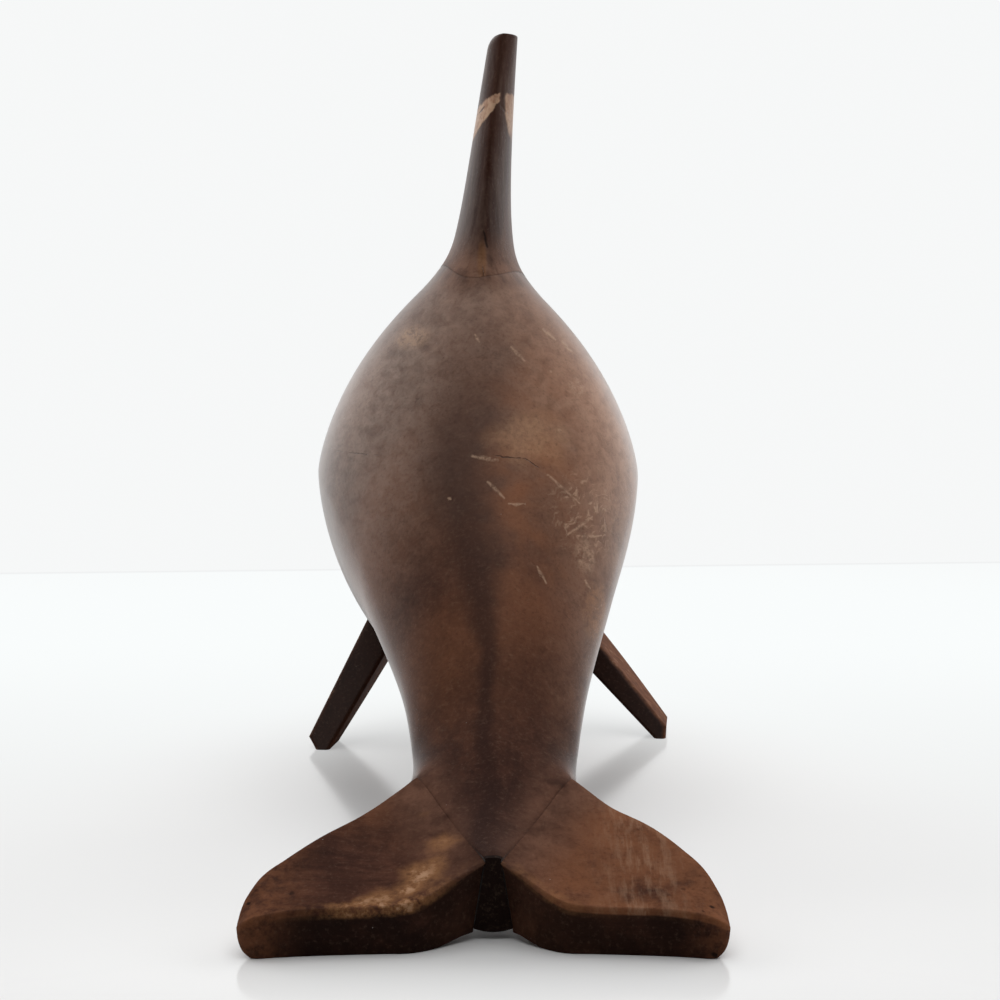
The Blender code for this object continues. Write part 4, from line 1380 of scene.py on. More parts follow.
def flipper_wood(looks):
    finish = Finish("flipper_hardwood", 0.0, looks.oil)
    place = finish.place()
    x, _, _ = place.split()
    colour, pores, relief = hardwood(finish, place, FLIPPER_GRAIN, looks, (5.0, 40.0, 9.0))
    torn = finish.noise(place.scaled(0.4), 4.0, 0.65)
    rear = finish.painted("rear")
    # Painted shade darkens the faces that face to the rear
    colour = finish.mix(rear * 0.75, colour, looks.near_black)
    outer = finish.painted("outer")
    right = x.ease(*RIGHT_FLIPPER_RED)
    # The outer faces are warmer and paler in torn patches: partly wear, partly painted light where
    # they face the light
    colour = finish.mix(outer * right * torn.ease(0.2, 0.7) * 0.7, colour, looks.red)
    colour = finish.mix(outer * torn.ease(0.55, 0.75) * 0.4, colour, looks.pale)
    roughness = looks.roughness + pores * 0.1 + (torn - 0.5) * 0.15
    colour, roughness = speckle(finish, place, colour, roughness, looks, 0.08)
    return finish.finish(colour, roughness, relief, 0.12, looks.relief)


def peg_wood(looks):
    finish = Finish("dowel_wood")
    place = finish.place()
    figure = finish.noise(place * (0.5, 0.9, 0.9), 5.0, 0.6)
    rings = finish.noise(place.scaled(2.2), 3.0, 0.6)
    colour = finish.mix(figure.ease(0.3, 0.7), looks.peg, looks.pale)
    colour = finish.mix(rings.ease(0.55, 0.75) * 0.4, colour, looks.gold)
    return finish.finish(colour, rings * 0.2 + 0.5, figure + rings * 0.5, 0.08, looks.relief)


# Pegs grown by nodes


def peg_tree():
    """A fluted, chamfered peg between two points."""
    tree = bpy.data.node_groups.new("fluted_peg", "GeometryNodeTree")
    face = tree.interface
    face.new_socket("Geometry", in_out="OUTPUT", socket_type="NodeSocketGeometry")
    for name, kind, value in (
        ("Start", "NodeSocketVector", (0.0, 0.0, 0.0)),
        ("End", "NodeSocketVector", (0.0, 0.0, 0.02)),
        ("Radius", "NodeSocketFloat", 2 * MM),
        ("Flute Depth", "NodeSocketFloat", 0.16 * MM),
        ("Flutes", "NodeSocketInt", FLUTES),
        ("Chamfer", "NodeSocketFloat", PEG_CHAMFER),
        ("Material", "NodeSocketMaterial", None),
    ):
        socket = face.new_socket(name, in_out="INPUT", socket_type=kind)
        if value is not None:
            socket.default_value = value
    nodes = Nodes(tree)
    given = nodes.node("NodeGroupInput").outputs

    # The line that the peg follows, thinner towards both ends
    line = nodes.node(
        "GeometryNodeCurvePrimitiveLine", inputs={"Start": given["Start"], "End": given["End"]}
    )
    stepped = nodes.node(
        "GeometryNodeResampleCurve",
        {"mode": "COUNT"},
        {"Curve": line.outputs[0], "Count": PEG_RINGS},
    )
    way = Amount(nodes, nodes.node("GeometryNodeSplineParameter").outputs["Factor"])
    fullness = nodes.node(
        "ShaderNodeMapRange",
        {"clamp": True},
        {
            "Value": way.least(1 - way),
            "From Min": 0.0,
            "From Max": given["Chamfer"],
            "To Min": PEG_END_FULLNESS,
            "To Max": 1.0,
        },
    )
    shaped = nodes.node(
        "GeometryNodeSetCurveRadius",
        inputs={"Curve": stepped.outputs[0], "Radius": fullness.outputs[0]},
    )

    # Its section, a circle with shallow flutes
    ring = nodes.node(
        "GeometryNodeCurvePrimitiveCircle",
        {"mode": "RADIUS"},
        {"Resolution": PEG_POINTS, "Radius": given["Radius"]},
    )
    around = Amount(nodes, nodes.node("GeometryNodeSplineParameter").outputs["Factor"])
    angle = around * given["Flutes"] * (2 * HALF_TURN)
    depth = (angle.math("COSINE", angle) - 1.0) * given["Flute Depth"]
    place = Place(nodes, nodes.node("GeometryNodeInputPosition").outputs[0])
    outward = Place(nodes, place.vector("NORMALIZE").outputs[0])
    fluted = nodes.node(
        "GeometryNodeSetPosition",
        inputs={"Geometry": ring.outputs[0], "Offset": outward.scaled(depth)},
    )
    swept = nodes.node(
        "GeometryNodeCurveToMesh",
        inputs={
            "Curve": shaped.outputs[0],
            "Profile Curve": fluted.outputs[0],
            "Fill Caps": True,
        },
    )
    if "Scale" in swept.inputs:
        radius = nodes.node("GeometryNodeInputRadius").outputs[0]
        tree.links.new(radius, swept.inputs["Scale"])
    dressed = nodes.node(
        "GeometryNodeSetMaterial",
        inputs={0: swept.outputs[0], "Material": given["Material"]},
    )
    nodes.node("NodeGroupOutput", inputs={0: dressed.outputs[0]})
    return tree


def grow_peg(name, tree, values):
    """A peg made by the tree, turned into a plain mesh."""
    piece = new_piece(name, bpy.data.meshes.new(name))
    modifier = piece.modifiers.new("peg", "NODES")
    modifier.node_group = tree
    for item in tree.interface.items_tree:
        if item.in_out == "INPUT" and item.name in values:
            modifier[item.identifier] = values[item.name]
    graph = bpy.context.evaluated_depsgraph_get()
    mesh = bpy.data.meshes.new_from_object(piece.evaluated_get(graph))
    piece.modifiers.remove(modifier)
    piece.data = mesh
    shape = bmesh.new()
    shape.from_mesh(mesh)
    bmesh.ops.remove_doubles(shape, verts=shape.verts, dist=0.001 * MM)
    bmesh.ops.recalc_face_normals(shape, faces=shape.faces)
    shape.to_mesh(mesh)
    shape.free()
    smooth(piece, PEG_SHARP_ANGLE)
    return piece


# Settings that a user would change


def length_of(name, about, millimetres):
    return bpy.props.FloatProperty(
        name=name, description=about, default=millimetres * MM, unit="LENGTH", precision=4
    )


def factor_of(name, about, value):
    return bpy.props.FloatProperty(
        name=name, description=about, default=value, min=0.0, max=1.0, subtype="FACTOR"
    )


def colour_of(name, about, value):
    return bpy.props.FloatVectorProperty(
        name=name, description=about, default=value, size=3, min=0.0, max=1.0, subtype="COLOR"
    )


class CarvingSizes(bpy.types.PropertyGroup):
    """The carving's main sizes."""

    length: length_of("Length", "From the flukes to the nose", 310)
    half_girth: length_of("Half girth", "Half the trunk's greatest width", 41.4)
    ridge_height: length_of("Ridge height", "The trunk's greatest height over the table", 134.5)
    fin_height: length_of("Fin height", "The top of the fin over the table", 185)
    fin_thickness: length_of("Fin thickness", "The fin's thickness at its top", 7)
    filler_thickness: length_of("Filler thickness", "The layer of filler in the break", 3)
    left_span: length_of("Left span", "The left fluke's reach to the side", 43.8)
    right_span: length_of("Right span", "The right fluke's reach to the side", 41.1)
    left_swell: length_of("Left swell", "How far the left fluke's front bulges", 0.5)
    right_swell: length_of("Right swell", "How far the right fluke's front bulges", 6.8)
    fluke_reach: length_of("Fluke reach", "The flukes' length along the body", 46)
    fluke_height: length_of("Fluke height", "The flukes' height at their roots", 25.3)
    fluke_edge: length_of("Fluke edge", "The rounding of the flukes' rear edges", 1.2)
    fluke_dish: length_of("Fluke dish", "The hollow in the flukes' tops", 0.9)
    dowel_diameter: length_of("Dowel diameter", "The pegs in the fin and the flukes", 4)
    pin_diameter: length_of("Pin diameter", "The pin across the break in the fin", 2)


class CarvingLooks(bpy.types.PropertyGroup):
    """The wood's colours and finish."""

    dark: colour_of("Dark wood", "The darkest streaks of the wood", (0.026, 0.010, 0.007))
    brown: colour_of("Brown wood", "The wood's main colour", (0.096, 0.039, 0.024))
    red: colour_of("Red wood", "The warm parts of the wood", (0.220, 0.086, 0.040))
    # The drier and the grey wood also paint light on the crown and the flanks of the back
    dry_and_lit: colour_of("Dry wood", "Where the oil has gone from the wood", (0.450, 0.270, 0.185))
    grey: colour_of("Grey wood", "Dry wood on the left side", (0.370, 0.275, 0.225))
    oil: factor_of("Oil", "How much of the wood's oil still shines", 0.14)
    dustiness: factor_of("Dustiness", "How pale the edges look against the light", 0.95)
    gold: colour_of("Bare wood", "Where the dark skin is rubbed through", (0.36, 0.17, 0.07))
    pale: colour_of("Scuffs", "Torn and scratched fibres", (0.46, 0.30, 0.20))
    dust: colour_of("Dust", "Dust in the pores", (0.70, 0.66, 0.61))
    # Besides cracks and glue lines, this colour paints shade: the stock's end in the notch and the
    # rear faces of the flukes and the flippers
    near_black: colour_of("Cracks", "Cracks, glue lines and shaded ends", (0.010, 0.005, 0.004))
    filler: colour_of("Filler", "The filler in the break", (0.46, 0.295, 0.20))
    peg: colour_of("Peg wood", "The wood of the pegs", (0.42, 0.27, 0.15))
    roughness: factor_of("Roughness", "How dull the oiled surface is", 0.44)
    relief: factor_of("Relief", "How strongly the grain stands out", 0.7)


class CarvingStage(bpy.types.PropertyGroup):
    """The table, the backdrop and the lamps."""

    table: colour_of("Table", "The table's colour", (0.83, 0.83, 0.825))
    # This colour also paints the shade line along the table's far edge
    table_shade: colour_of("Table shade", "The table's duller patches", (0.72, 0.72, 0.725))
    far_table: colour_of("Far table", "The far part of the table, as seen", (0.95, 0.975, 0.975))
    backdrop: colour_of("Backdrop", "What is seen behind the table", (0.925, 0.935, 0.935))
    table_depth: length_of("Table depth", "How far behind the object the table ends", 560)
    side_light: bpy.props.FloatProperty(
        name="Side light", description="The power of each side lamp", default=3.6, unit="POWER"
    )
    top_light: bpy.props.FloatProperty(
        name="Top light", description="The power of the lamp overhead", default=14.0, unit="POWER"
    )
    fill: factor_of("Fill", "The light that comes from all round", 0.06)
    wall: factor_of("Wall", "How much more light comes from the far side", 0.85)


def settings(context):
    scene = context.scene
    return scene.carving_sizes, scene.carving_looks, scene.carving_stage


# Operators, one for each piece or group of like pieces


class CARVING_OT_body(bpy.types.Operator):
    """Carve the trunk with its stock, eyes, mouth and mortises"""

    bl_idname = "carving.body"
    bl_label = "Body"

    def execute(self, context):
        sizes, looks, _ = settings(context)
        rows, seam, root = trunk_rows(sizes)
        start = rows[0].mean(axis=0)
        tip = trunk_skin(sizes, np.array([sizes.length]), np.array([0.0]))[0]
        piece = carve("whale_body", rows, start, tip, seam=seam, root=root)
        for cutter in (*eye_cutters(sizes), mouth_cutter(sizes), *mortise_cutters(sizes)):
            cut_away(piece, cutter)
        smooth(piece)
        settle(piece, trunk_wood(looks), "dark_hardwood", "body")
        return {"FINISHED"}


def trunk_stations(sizes):
    """How far ahead each ring of the trunk lies, from the stock's end to the nose."""
    stock = STOCK_START_SHARE * sizes.length + STOCK_RECESS
    fin_start = (FIN_REAR_FOOT - FIN_MARGIN) * sizes.length
    fin_end = (FIN_FRONT_FOOT + FIN_MARGIN) * sizes.length
    neck = (1 - NOSE_SHARE) * sizes.length
    nose = sizes.length - neck
    turns = np.linspace(0, QUARTER_TURN, NOSE_RINGS)[1:-1]
    return np.concatenate(
        [
            np.linspace(stock, fin_start, STOCK_RINGS, endpoint=False),
            np.linspace(fin_start, fin_end, SHOULDER_RINGS, endpoint=False),
            np.linspace(fin_end, neck, CHEST_RINGS),
            sizes.length - nose * (1 - np.sin(turns)),
        ]
    )


def cut_cheeks(sizes, aheads, rows):
    """Flattens the stock's sides for the flukes; in the notch they spread towards the table."""
    past = np.maximum(aheads - LOBES[0].rear * sizes.fluke_reach, 0)
    under = LOBES[0].under_rear * sizes.fluke_height + NOTCH_UNDER_RISE * past
    height = NOTCH_SPLAY_HEIGHT + NOTCH_UNDER_RISE * past
    splay = np.clip(1 - past / NOTCH_REACH, 0, 1)
    splay = splay * np.clip(1 - (rows[..., 2] - under) / height, 0, 1)
    half = cheek_half(sizes, aheads) + STOCK_SPLAY * splay
    half = np.where(aheads < CHEEK_FRONT_SHARE * sizes.length, half, np.inf)
    rows[..., 0] = np.clip(rows[..., 0], CHEEK_DRIFT - half, CHEEK_DRIFT + half)


def trunk_rows(sizes):
    """Rows of points along the trunk, and their distances from the fin's and the flukes' joints
    in millimetres."""
    aheads = trunk_stations(sizes)[:, None]
    rows = trunk_skin(sizes, aheads, even_turns(TRUNK_POINTS)[None])
    cut_cheeks(sizes, aheads, rows)
    foot = FinFoot(sizes)
    rows, seam = foot.worked(rows, foot.covers(rows) & (rows[..., 2] > sizes.ridge_height / 2))
    root = np.full(seam.shape, FAR_AWAY)
    for side in (-1, 1):
        _, joint, _ = fluke_shape(sizes, side)
        rows, far = joint.worked(rows, False)
        root = np.minimum(root, far)
    return rows, seam * TO_MM, root * TO_MM


def flank_place(sizes, ahead, height, side):
    """The point of the skin at a height, on one side of the head."""
    lines = trunk_lines(sizes, ahead)
    shrink = float(nose_rounding(sizes, ahead))
    above = height >= lines.flank
    power = float(lines.roof if above else lines.belly)
    reach = float((lines.ridge - lines.flank) if above else (lines.flank - lines.keel))
    level = min(abs(height - float(lines.flank)) / (reach * shrink), 1.0)
    out = float(lines.half_width) * shrink * (1 - level**power) ** (1 / power)
    return Vector((float(lines.drift) + side * out, ahead - sizes.length / 2, height))


def eye_cutters(sizes):
    """Balls that hollow the eyes."""
    radius = (EYE_DIAMETER**2 / 4 + EYE_DEPTH**2) / (2 * EYE_DEPTH)
    ahead = EYE_SHARE * sizes.length
    balls = []
    for side in (-1, 1):
        place = flank_place(sizes, ahead, EYE_HEIGHT, side)
        nearby = flank_place(sizes, ahead + 2 * MM, EYE_HEIGHT, side)
        outward = Vector((side * (nearby.y - place.y), -side * (nearby.x - place.x), 0))
        middle = place + outward.normalized() * (radius - EYE_DEPTH)
        mesh = bpy.data.meshes.new("eye_hollow")
        shape = bmesh.new()
        bmesh.ops.create_icosphere(
            shape, subdivisions=5, radius=radius, matrix=Matrix.Translation(middle)
        )
        shape.to_mesh(mesh)
        shape.free()
        balls.append(new_piece("eye_hollow", mesh))
    return balls


def mouth_cutter(sizes):
    """A fine tube along the mouth, from one corner round the nose to the other."""
    corner = MOUTH_CORNER_SHARE * sizes.length
    turns = np.linspace(-QUARTER_TURN, QUARTER_TURN, MOUTH_RINGS)
    path = []
    for turn in turns:
        ahead = corner + (sizes.length - corner) * math.cos(turn)
        droop = MOUTH_DROOP * math.cos(turn)
        angle = -droop if turn > 0 else HALF_TURN + droop
        path.append(trunk_skin(sizes, np.array([ahead]), np.array([angle]))[0])
    path = np.array(path)
    along = unit(np.gradient(path, axis=0))
    across = unit(np.cross(along, (0.0, 0.0, 1.0)))
    over = np.cross(across, along)
    around = even_turns(MOUTH_POINTS)[None, :, None]
    ring = np.cos(around) * across[:, None] + np.sin(around) * over[:, None]
    swell = np.sin(np.linspace(0, HALF_TURN, len(path))) * MOUTH_SWELL
    size = np.minimum(1.0, MOUTH_CORNER_SIZE + swell)
    rows = path[:, None] + ring * (MOUTH_GROOVE / 2 * size)[:, None, None]
    return carve("mouth_groove", rows, path[0], path[-1])


def flipper_rows(sizes, flipper, grow=0.0):
    """Rows of points up a flipper, and how far each faces to the rear and outwards."""
    low = np.linspace(0, flipper.bevel_height, BEVEL_RINGS)
    high = np.linspace(flipper.bevel_height, flipper.root_height + grow, PADDLE_RINGS)
    rows = []
    rear = []
    outer = []
    for height in (*low, *high[1:]):
        outline = flipper_ring(flipper, height, grow)
        rows.append(flipper_place(sizes, flipper, height, outline))
        step = unit(np.roll(outline, -1, axis=0) - np.roll(outline, 1, axis=0))
        rear.append(np.clip(-step[:, 1], 0, 1))
        outer.append(np.clip(step[:, 0], 0, 1))
    return np.array(rows), np.array(rear), np.array(outer)


def mortise_cutters(sizes):
    """The flippers' roots, a hair larger, to cut their mortises."""
    cutters = []
    for flipper in (LEFT_FLIPPER, RIGHT_FLIPPER):
        rows, _, _ = flipper_rows(sizes, flipper, MORTISE_CLEARANCE)
        rows = rows[::MORTISE_RING_STEP]
        cutters.append(carve("mortise", rows, rows[0].mean(axis=0), rows[-1].mean(axis=0)))
    return cutters


def saddle_rows(sizes, rim):
    """Rows of points from the fin's rim in towards the ridge that the fin sits on."""
    rows = []
    for share in SADDLE_SHARES:
        row = rim.copy()
        row[:, 0] -= (rim[:, 0] - FIN_FOOT_DRIFT) * share
        row[:, 2] = roof_height(sizes, row) + FIN_SEAT
        rows.append(row)
    return rows


def fin_rows(sizes):
    """Rows of points up the whole fin, and their distance from the glue line in millimetres."""
    turn = even_turns(FIN_COLUMNS)
    foot = fin_foot_heights(sizes, turn)
    worked = FinFoot(sizes)
    shoulder = sizes.fin_height - FIN_CROWN
    climbs = np.linspace(0, 1, BLADE_RINGS) ** BLADE_CROWDING
    heights = foot[None] + climbs[:, None] * (shoulder - foot)[None]
    rows = [fin_skin(sizes, level, turn) for level in heights]
    for rise in np.linspace(0, QUARTER_TURN, CROWN_RINGS)[1:]:
        level = np.full(len(turn), shoulder + FIN_CROWN * math.sin(rise))
        ring = fin_skin(sizes, level, turn)
        middle = ring.mean(axis=0)
        inset = FIN_CROWN * (1 - math.cos(rise))
        ring[:, 0] -= (ring[:, 0] - middle[0]) * inset / (sizes.fin_thickness / 2)
        length = np.abs(ring[:, 1] - middle[1]).max()
        ring[:, 1] -= (ring[:, 1] - middle[1]) * inset / length
        rows.append(ring)
    rows = np.array(rows)

    # The left corner of the tip is rounded off and its top falls to the rear
    into = np.clip((rows[..., 2] - sizes.fin_height + TIP_CORNER_HEIGHT) / TIP_CORNER_HEIGHT, 0, 1)
    inset = TIP_CORNER_WIDTH * (1 - np.sqrt(1 - into**2))
    off = rows[..., 0] - fin_drift(sizes, rows[..., 2])
    rows[..., 0] -= np.minimum(off, 0) * inset / (sizes.fin_thickness / 2)
    behind = rows[..., 1].mean(axis=1, keepdims=True) - rows[..., 1]
    rows[..., 2] -= TIP_FALL * np.maximum(behind, 0) * into
    rows, over = worked.worked(rows, False)
    under, inside = worked.worked(np.array(saddle_rows(sizes, worked.rim)), True)
    return np.concatenate([under, rows]), np.concatenate([inside, over]) * TO_MM


def break_frame(sizes):
    middle = fin_middle(sizes, sizes.fin_height - BREAK_BELOW_TOP)
    return Matrix.Translation(middle) @ Matrix.Rotation(-BREAK_SLANT, 4, "Y")


def make_fin_part(context, name, low, high, material, slot, node):
    sizes, _, _ = settings(context)
    rows, over = fin_rows(sizes)
    piece = carve(name, rows, None, rows[-1].mean(axis=0), foot=over)
    keep_between(piece, break_frame(sizes), low, high)
    smooth(piece)
    settle(piece, material, slot, node)


class CARVING_OT_fin(bpy.types.Operator):
    """Carve the dorsal fin up to the break, its foot astride the ridge"""

    bl_idname = "carving.fin"
    bl_label = "Dorsal fin"

    def execute(self, context):
        sizes, looks, _ = settings(context)
        half = sizes.filler_thickness / 2
        material = fin_wood(looks)
        make_fin_part(
            context, "whale_dorsal_fin", None, -half, material, "dark_hardwood", "dorsal_fin"
        )
        make_fin_part(context, "whale_fin_tip", half, None, material, "dark_hardwood", "fin_tip")
        return {"FINISHED"}


class CARVING_OT_filler(bpy.types.Operator):
    """Fill the break near the top of the fin"""

    bl_idname = "carving.filler"
    bl_label = "Filler"

    def execute(self, context):
        sizes, looks, _ = settings(context)
        half = sizes.filler_thickness / 2
        material = filler_paste(looks)
        make_fin_part(
            context, "whale_fin_filler", -half, half, material, "wood_filler", "fin_tip_filler"
        )
        return {"FINISHED"}


class CARVING_OT_flippers(bpy.types.Operator):
    """Carve the two flippers that the whale stands on"""

    bl_idname = "carving.flippers"
    bl_label = "Flippers"

    def execute(self, context):
        sizes, looks, _ = settings(context)
        material = flipper_wood(looks)
        for name, flipper in (("left", LEFT_FLIPPER), ("right", RIGHT_FLIPPER)):
            rows, rear, outer = flipper_rows(sizes, flipper)
            start = rows[0].mean(axis=0)
            end = rows[-1].mean(axis=0)
            piece = carve(f"whale_{name}_flipper", rows, start, end, rear=rear, outer=outer)
            smooth(piece)
            settle(piece, material, "dark_hardwood", f"{name}_flipper")
        return {"FINISHED"}


def fluke_shape(sizes, side):
    """Rows of points out along a fluke, its joint with the stock, and how much of it each
    line of points takes up."""
    names, ways = lobe_outline()
    span = sizes.left_span if side < 0 else sizes.right_span
    start = np.full((1, len(names)), FLUKE_ROOT_GUESS)
    for _ in range(FLUKE_ROOT_PASSES):
        points = lobe_skin(sizes, start, side)
        ahead = points[..., 1] + sizes.length / 2
        away = side * CHEEK_DRIFT + cheek_half(sizes, ahead) + CHEEK_JOINT
        start = away / span
    steps = np.linspace(0, 1, FLUKE_RINGS)[:, None] ** FLUKE_CROWDING
    shares = start + steps * (1 - start)
    rows = lobe_skin(sizes, shares, side)

    # The roots flow into the stock: up or down to its skin, and forward into the notch
    out = np.abs(rows[..., 0]) - np.abs(rows[:1, :, 0])
    root = rows[:1]
    lift = roof_height(sizes, root) - root[..., 2]
    lift = np.clip(lift, -FLUKE_ROOT_LIFT, FLUKE_ROOT_LIFT)
    upper = np.select(
        [names == "top", names == "arris", names == "rear", names == "nose"],
        [1.0, 1.0, ways, np.clip(np.cos(HALF_TURN * ways), 0, 1)],
        0.0,
    )
    near = np.clip(1 - out / ROOT_HOLLOW, 0, 1) ** 2
    rear_most = rows[..., 1].min(axis=1, keepdims=True)
    bend = np.clip(1 - out / NOTCH_BEND, 0, 1) ** 2
    bend = bend * np.clip(1 - (rows[..., 1] - rear_most) / NOTCH_REACH, 0, 1)
    splay = (cheek_half(sizes, NOTCH_DEPTH) - cheek_half(sizes, 0.0)) / NOTCH_DEPTH
    rows[..., 2] += lift * upper * near
    rows[..., 1] += NOTCH_DEPTH * bend
    rows[..., 0] += side * (splay * NOTCH_DEPTH + NOTCH_SPLAY * (1 - upper)) * bend

    # The far end is rounded
    last = np.clip((steps - FLUKE_END_START) / (1 - FLUKE_END_START), 0, 1)[..., None]
    shrink = np.sqrt(1 - FLUKE_END_LOSS * last**2)
    middle = rows.mean(axis=1, keepdims=True)
    rows[..., 1:] = (middle + (rows - middle) * shrink)[..., 1:]
    rows[..., 2] = np.maximum(rows[..., 2], 0.0)
    top = np.isin(names, ("arris", "top"))
    rim = rows[0][top]
    skin = unit(np.cross(np.gradient(rim, axis=0), rows[FLUKE_SLOPE_RING][top] - rim))
    skin *= np.sign(skin[:, 2:])
    joint = SoftJoint(rim, skin, back_normals(sizes, rim), ROOT_REACH)
    return rows, joint, upper


def fluke_rows(sizes, side):
    """Rows of points out along a fluke, with its arris, its rear face and its seam."""
    names, ways = lobe_outline()
    rows, joint, upper = fluke_shape(sizes, side)
    worked, _ = joint.worked(rows, False)
    rows = rows + (worked - rows) * upper[:, None]
    arris = np.where(names == "arris", 1.0, 0.0)
    arris = np.where(names == "top", np.maximum(0, 1 - ways / ARRIS_SHARE_OF_TOP), arris)
    rising = np.maximum(0, 1 - (1 - ways) / ARRIS_SHARE_OF_REAR)
    arris = np.where(names == "rear", rising, arris)
    behind = np.isin(names, ("rear", "toe"))
    seam = (np.abs(rows[..., 0]) - np.abs(rows[:1, :, 0])) * TO_MM
    spread = np.ones(rows.shape[:2])
    return rows, arris * spread, behind * spread, seam


class CARVING_OT_flukes(bpy.types.Operator):
    """Carve the two tail flukes"""

    bl_idname = "carving.flukes"
    bl_label = "Flukes"

    def execute(self, context):
        sizes, looks, _ = settings(context)
        material = fluke_wood(looks)
        for name, side in (("left", -1), ("right", 1)):
            rows, arris, behind, seam = fluke_rows(sizes, side)
            start = rows[0].mean(axis=0)
            end = rows[-1].mean(axis=0)
            piece = carve(
                f"whale_{name}_fluke", rows, start, end, arris=arris, behind=behind, seam=seam
            )
            smooth(piece)
            settle(piece, material, "warm_hardwood", f"{name}_fluke")
        return {"FINISHED"}


class CARVING_OT_pegs(bpy.types.Operator):
    """Grow the dowels and the pin that hold the pieces together"""

    bl_idname = "carving.pegs"
    bl_label = "Dowels and pin"

    def execute(self, context):
        sizes, looks, _ = settings(context)
        tree = peg_tree()
        material = peg_wood(looks)
        for node in PEG_NODES:
            start, end, diameter = peg_line(sizes, node)
            values = {
                "Start": start,
                "End": end,
                "Radius": diameter / 2,
                "Flute Depth": diameter * FLUTE_SHARE,
                "Material": material,
            }
            piece = grow_peg(f"whale_{node}", tree, values)
            settle(piece, material, "dowel_wood", node)
        return {"FINISHED"}


def peg_line(sizes, node):
    """Where a peg starts and ends, and its diameter."""
    if node == PIN_NODE:
        height = sizes.fin_height - BREAK_BELOW_TOP
        ends = (height - PIN_LENGTH / 2, height + PIN_LENGTH / 2)
        start, end = (fin_middle(sizes, level) for level in ends)
        return start, end, sizes.pin_diameter
    low, high = (Vector(corner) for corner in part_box(node))
    axis = 2 if node.startswith("fin") else 0
    start = (low + high) / 2
    end = start.copy()
    start[axis] = low[axis]
    end[axis] = high[axis]
    return start, end, sizes.dowel_diameter


class CARVING_OT_stage(bpy.types.Operator):
    """Set the white table, the lamps and the camera"""

    bl_idname = "carving.stage"
    bl_label = "Table, lamps and camera"

    def execute(self, context):
        sizes, _, stage = settings(context)
        scene = context.scene
        set_table(stage)
        set_world(scene, stage)
        set_lamps(stage)
        set_camera(scene, sizes)
        scene.view_settings.view_transform = "Standard"
        return {"FINISHED"}


def set_table(stage):
    """A glossy white table; away from the carving it is seen as plain white."""
    mesh = bpy.data.meshes.new("table")
    corners = [(x * TABLE_REACH, y * TABLE_REACH, -TABLE_DROP) for x, y in SQUARE]
    mesh.from_pydata(corners, [], [(0, 1, 2, 3)])
    table = new_piece("table", mesh)
    finish = Finish("white_table", 0.9)
    place = finish.place()
    x, y, _ = place.split()
    haze = finish.noise(place.scaled(0.006), 2.0, 0.5)
    colour = finish.mix(haze.ease(0.3, 0.7) * 0.5, stage.table, stage.table_shade)
    material = finish.finish(colour, haze * 0.06 + 0.1)
    # Seen by the camera away from the carving, the table glows as painted light: brighter towards
    # the far side, with a painted shade line along its far edge, then fading into the backdrop
    edge = y - x * TABLE_EDGE_SLANT - stage.table_depth * TO_MM
    plain_table = finish.mix(y.ease(*TABLE_NEAR_TO_FAR), stage.table, stage.far_table)
    plain_table = finish.mix(place.size().ease(*TABLE_FADES_OUT), plain_table, stage.backdrop)
    far = finish.mix(edge.ease(*TABLE_EDGE_BLUR), plain_table, stage.backdrop)
    far = finish.mix(edge.near(*TABLE_EDGE_LINE) * 0.3, far, stage.table_shade)
    glow = finish.node("ShaderNodeEmission", inputs={"Color": far, "Strength": 1.0})
    seen = finish.node("ShaderNodeLightPath").outputs["Is Camera Ray"]
    away = ((place - GLOSS_MIDDLE) * GLOSS_SQUASH).size().ease(*GLOSS_ENDS)
    away = away.most(y.fade(*GLOSS_REAR)) * seen
    both = finish.node(
        "ShaderNodeMixShader", inputs={0: away, 1: finish.shader.outputs[0], 2: glow.outputs[0]}
    )
    finish.tree.links.new(both.outputs[0], finish.tree.nodes["Material Output"].inputs[0])
    mesh.materials.append(material)


def set_world(scene, stage):
    """Light from all round, brighter from the far side, as in a room with a white wall."""
    world = bpy.data.worlds.new("studio")
    scene.world = world
    world.use_nodes = True
    nodes = Nodes(world.node_tree)
    way = Place(nodes, nodes.node("ShaderNodeTexCoord").outputs["Generated"])
    _, y, _ = way.split()
    strength = y.ease(-0.25, 0.8) * stage.wall + stage.fill
    white = opaque((1.0, 1.0, 1.0))
    lit = nodes.node("ShaderNodeBackground", inputs={"Color": white, "Strength": strength})
    seen = nodes.node("ShaderNodeBackground", inputs={"Color": opaque(stage.backdrop)})
    path = nodes.node("ShaderNodeLightPath")
    both = nodes.node(
        "ShaderNodeMixShader",
        inputs={0: path.outputs["Is Camera Ray"], 1: lit.outputs[0], 2: seen.outputs[0]},
    )
    nodes.tree.links.new(both.outputs[0], nodes.tree.nodes["World Output"].inputs[0])


def add_lamp(name, place, size, power):
    """A square lamp that faces the carving."""
    light = bpy.data.lights.new(name, "AREA")
    light.size = size
    light.energy = power
    lamp = bpy.data.objects.new(name, light)
    lamp.location = place
    facing = Vector(LAMP_TARGET) - Vector(place)
    lamp.rotation_euler = facing.to_track_quat("-Z", "Y").to_euler()
    bpy.context.scene.collection.objects.link(lamp)
    return lamp


def set_lamps(stage):
    """Two lamps at the far corners, which the table doesn't mirror, and one overhead."""
    left = add_lamp("left_lamp", LEFT_LAMP_PLACE, SIDE_LAMP_SIZE, stage.side_light)
    right = add_lamp("right_lamp", RIGHT_LAMP_PLACE, SIDE_LAMP_SIZE, stage.side_light)
    left.visible_glossy = False
    right.visible_glossy = False
    add_lamp("top_lamp", TOP_LAMP_PLACE, TOP_LAMP_SIZE, stage.top_light)


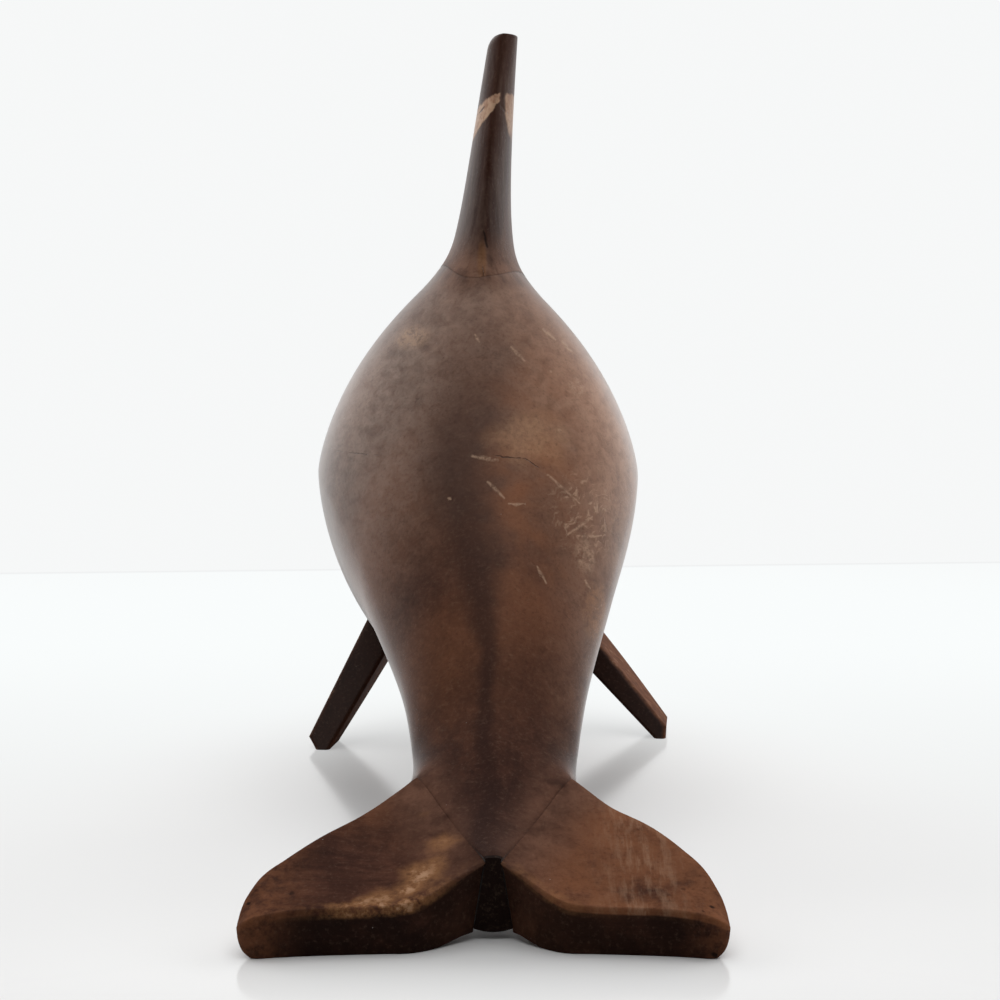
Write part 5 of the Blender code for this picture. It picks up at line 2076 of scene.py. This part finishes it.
def set_camera(scene, sizes):
    """The photograph's view: from behind, a little above the carving."""
    lens = bpy.data.cameras.new("camera")
    lens.sensor_width = SENSOR_WIDTH
    lens.lens = SENSOR_WIDTH * FOCAL_PIXELS / FRAME_PIXELS
    lens.clip_start = NEAREST_SEEN
    camera = bpy.data.objects.new("camera", lens)
    camera.location = (CAMERA_ASIDE, -sizes.length / 2 - CAMERA_BACK, CAMERA_HEIGHT)
    camera.rotation_euler = (QUARTER_TURN - math.atan(HORIZON_PIXELS / FOCAL_PIXELS), 0, 0)
    scene.collection.objects.link(camera)
    scene.camera = camera


STEPS = (
    CARVING_OT_body,
    CARVING_OT_fin,
    CARVING_OT_filler,
    CARVING_OT_flippers,
    CARVING_OT_flukes,
    CARVING_OT_pegs,
    CARVING_OT_stage,
)


class CARVING_PT_panel(bpy.types.Panel):
    """The carving's pieces and settings in the 3D view's sidebar"""

    bl_idname = "CARVING_PT_panel"
    bl_label = "Carved whale"
    bl_space_type = "VIEW_3D"
    bl_region_type = "UI"
    bl_category = "Carving"

    def draw(self, context):
        for step in STEPS:
            self.layout.operator(step.bl_idname)
        for group in settings(context):
            box = self.layout.box()
            for name in group.bl_rna.properties.keys():
                if name not in ("rna_type", "name"):
                    box.prop(group, name)


CLASSES = (CarvingSizes, CarvingLooks, CarvingStage, *STEPS, CARVING_PT_panel)


def register():
    for item in CLASSES:
        bpy.utils.register_class(item)
    bpy.types.Scene.carving_sizes = bpy.props.PointerProperty(type=CarvingSizes)
    bpy.types.Scene.carving_looks = bpy.props.PointerProperty(type=CarvingLooks)
    bpy.types.Scene.carving_stage = bpy.props.PointerProperty(type=CarvingStage)


def unregister():
    del bpy.types.Scene.carving_sizes
    del bpy.types.Scene.carving_looks
    del bpy.types.Scene.carving_stage
    for item in reversed(CLASSES):
        bpy.utils.unregister_class(item)


def main():
    register()
    bpy.ops.carving.body()
    bpy.ops.carving.fin()
    bpy.ops.carving.filler()
    bpy.ops.carving.flippers()
    bpy.ops.carving.flukes()
    bpy.ops.carving.pegs()
    bpy.ops.carving.stage()


if __name__ == "__main__":
    main()
